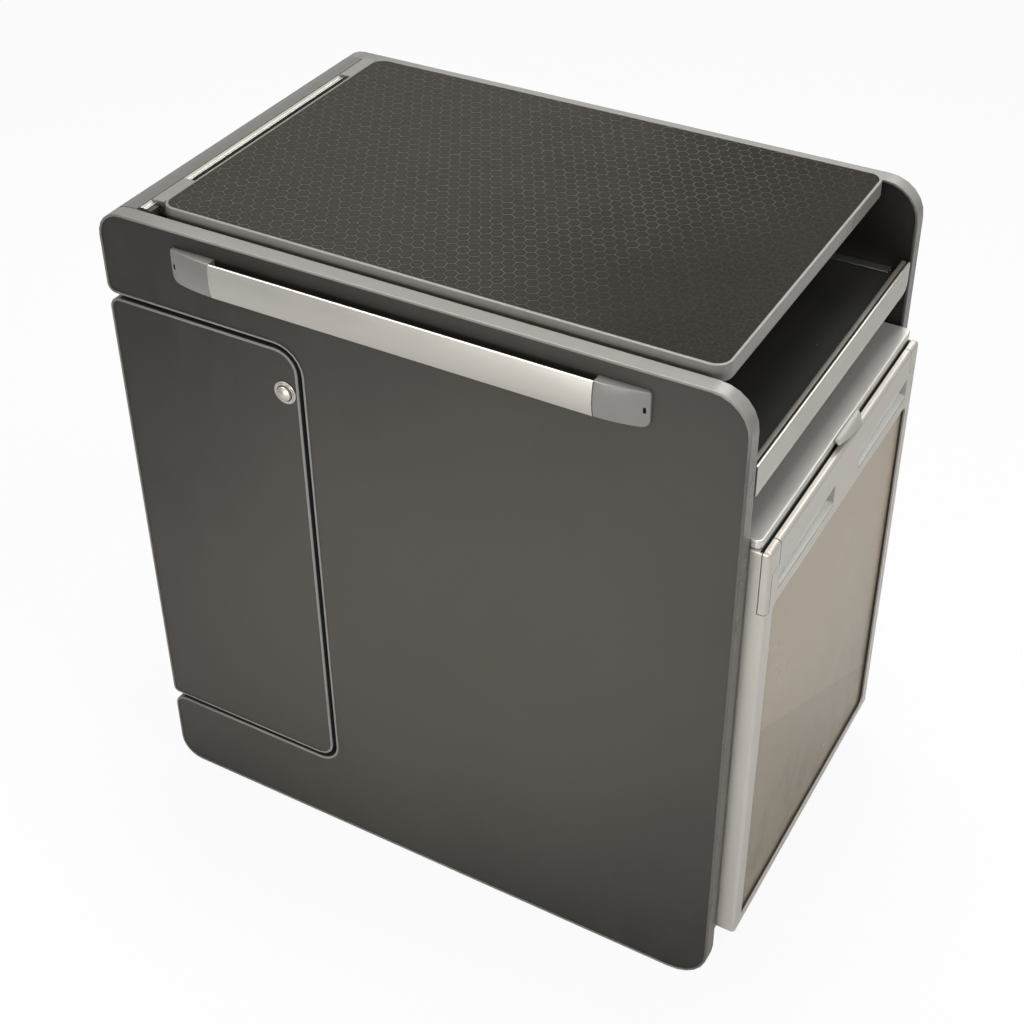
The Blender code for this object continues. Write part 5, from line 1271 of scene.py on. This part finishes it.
# Lamps: name, place, side, power in watts, the place that they face and whether they light matt surfaces
LAMPS = (
    ("over", (-0.3, 0.5, 3.4), 2.0, 84, (0, 0, 0.5), True),
    ("right", (1.7, -0.2, 2.7), 1.2, 30, (0.3, 0.0, 0.4), True),
    ("front", (0.1, -2.0, 0.7), 0.8, 17, (0.05, 0.0, 0.40), True),
    ("gloss_left", (-1.0, -0.3, 2.7), 1.2, 26, (0, 0, 0.6), False),
    ("gloss_back", (0.2, 2.1, 2.7), 1.2, 26, (0, 0, 0.6), False),
    ("gloss_front", (-1.04, -1.66, 2.4), 0.9, 26, (0, 0, 0.6), False))


def choose_by_ray(tree, rays, plain, special):
    """Mix Shader that takes the special shader for the named kinds of ray."""
    light_path = tree.nodes.new("ShaderNodeLightPath")
    chooser = tree.nodes.new("ShaderNodeMixShader")
    mask = light_path.outputs[rays[0]]
    for ray in rays[1:]:
        either = tree.nodes.new("ShaderNodeMath")
        either.operation = "MAXIMUM"
        tree.links.new(mask, either.inputs[0])
        tree.links.new(light_path.outputs[ray], either.inputs[1])
        mask = either.outputs[0]
    tree.links.new(mask, chooser.inputs[0])
    tree.links.new(plain, chooser.inputs[1])
    tree.links.new(special, chooser.inputs[2])
    return chooser.outputs[0]


def build_floor():
    bpy.ops.object.select_all(action="DESELECT")
    bpy.ops.mesh.primitive_plane_add(size=FLOOR_SIZE, location=(0, 0, 0))
    floor = bpy.context.object
    floor.name = "floor"
    material = bpy.data.materials.new("floor")
    material.use_nodes = True
    tree = material.node_tree
    shader = tree.nodes["Principled BSDF"]
    shader.inputs["Base Color"].default_value = (FLOOR_SHADE, FLOOR_SHADE, FLOOR_SHADE, 1)
    shader.inputs["Roughness"].default_value = FLOOR_ROUGHNESS
    shader.inputs["Specular IOR Level"].default_value = FLOOR_SPECULAR
    white = tree.nodes.new("ShaderNodeEmission")
    seen = tree.nodes.new("ShaderNodeMixShader")
    seen.inputs[0].default_value = FLOOR_WHITE_SHARE
    tree.links.new(shader.outputs[0], seen.inputs[1])
    tree.links.new(white.outputs[0], seen.inputs[2])
    chosen = choose_by_ray(tree, ("Is Camera Ray",), shader.outputs[0], seen.outputs[0])
    tree.links.new(chosen, tree.nodes["Material Output"].inputs["Surface"])
    floor.data.materials.append(material)


def build_surroundings():
    """White for the camera, bright in mirrors and dim as a source of light."""
    world = bpy.data.worlds.new("studio")
    bpy.context.scene.world = world
    world.use_nodes = True
    tree = world.node_tree
    dim = tree.nodes["Background"]
    dim.inputs["Color"].default_value = WHITE
    dim.inputs["Strength"].default_value = SURROUND_LIGHT
    mirrored = tree.nodes.new("ShaderNodeBackground")
    mirrored.inputs["Color"].default_value = WHITE
    mirrored.inputs["Strength"].default_value = SURROUND_MIRRORED
    white = tree.nodes.new("ShaderNodeBackground")
    white.inputs["Color"].default_value = WHITE
    lit = choose_by_ray(tree, ("Is Glossy Ray", "Is Transmission Ray"), dim.outputs[0], mirrored.outputs[0])
    seen = choose_by_ray(tree, ("Is Camera Ray",), lit, white.outputs[0])
    tree.links.new(seen, tree.nodes["World Output"].inputs["Surface"])


def add_lamp(name, place, size, power, target, lights_matt):
    data = bpy.data.lights.new(name, "AREA")
    data.shape = "SQUARE"
    data.size = size
    data.energy = power
    lamp = bpy.data.objects.new(name, data)
    lamp.location = place
    lamp.rotation_euler = (Vector(target) - Vector(place)).to_track_quat("-Z", "Y").to_euler()
    lamp.visible_camera = False
    lamp.visible_diffuse = lights_matt
    bpy.context.scene.collection.objects.link(lamp)


def build_studio():
    build_floor()
    build_surroundings()
    for lamp in LAMPS:
        add_lamp(*lamp)


def build_camera():
    data = bpy.data.cameras.new("camera")
    data.lens = CAMERA_LENS
    data.sensor_width = CAMERA_SENSOR
    data.sensor_fit = "HORIZONTAL"
    data.shift_x, data.shift_y = CAMERA_SHIFT_SHARES
    camera = bpy.data.objects.new("camera", data)
    camera.location = CAMERA_PLACE
    camera.rotation_euler = [math.radians(turn) for turn in CAMERA_DEGREES]
    bpy.context.scene.collection.objects.link(camera)
    bpy.context.scene.camera = camera


build_studio()
build_camera()
bpy.context.scene.view_settings.view_transform = "Standard"
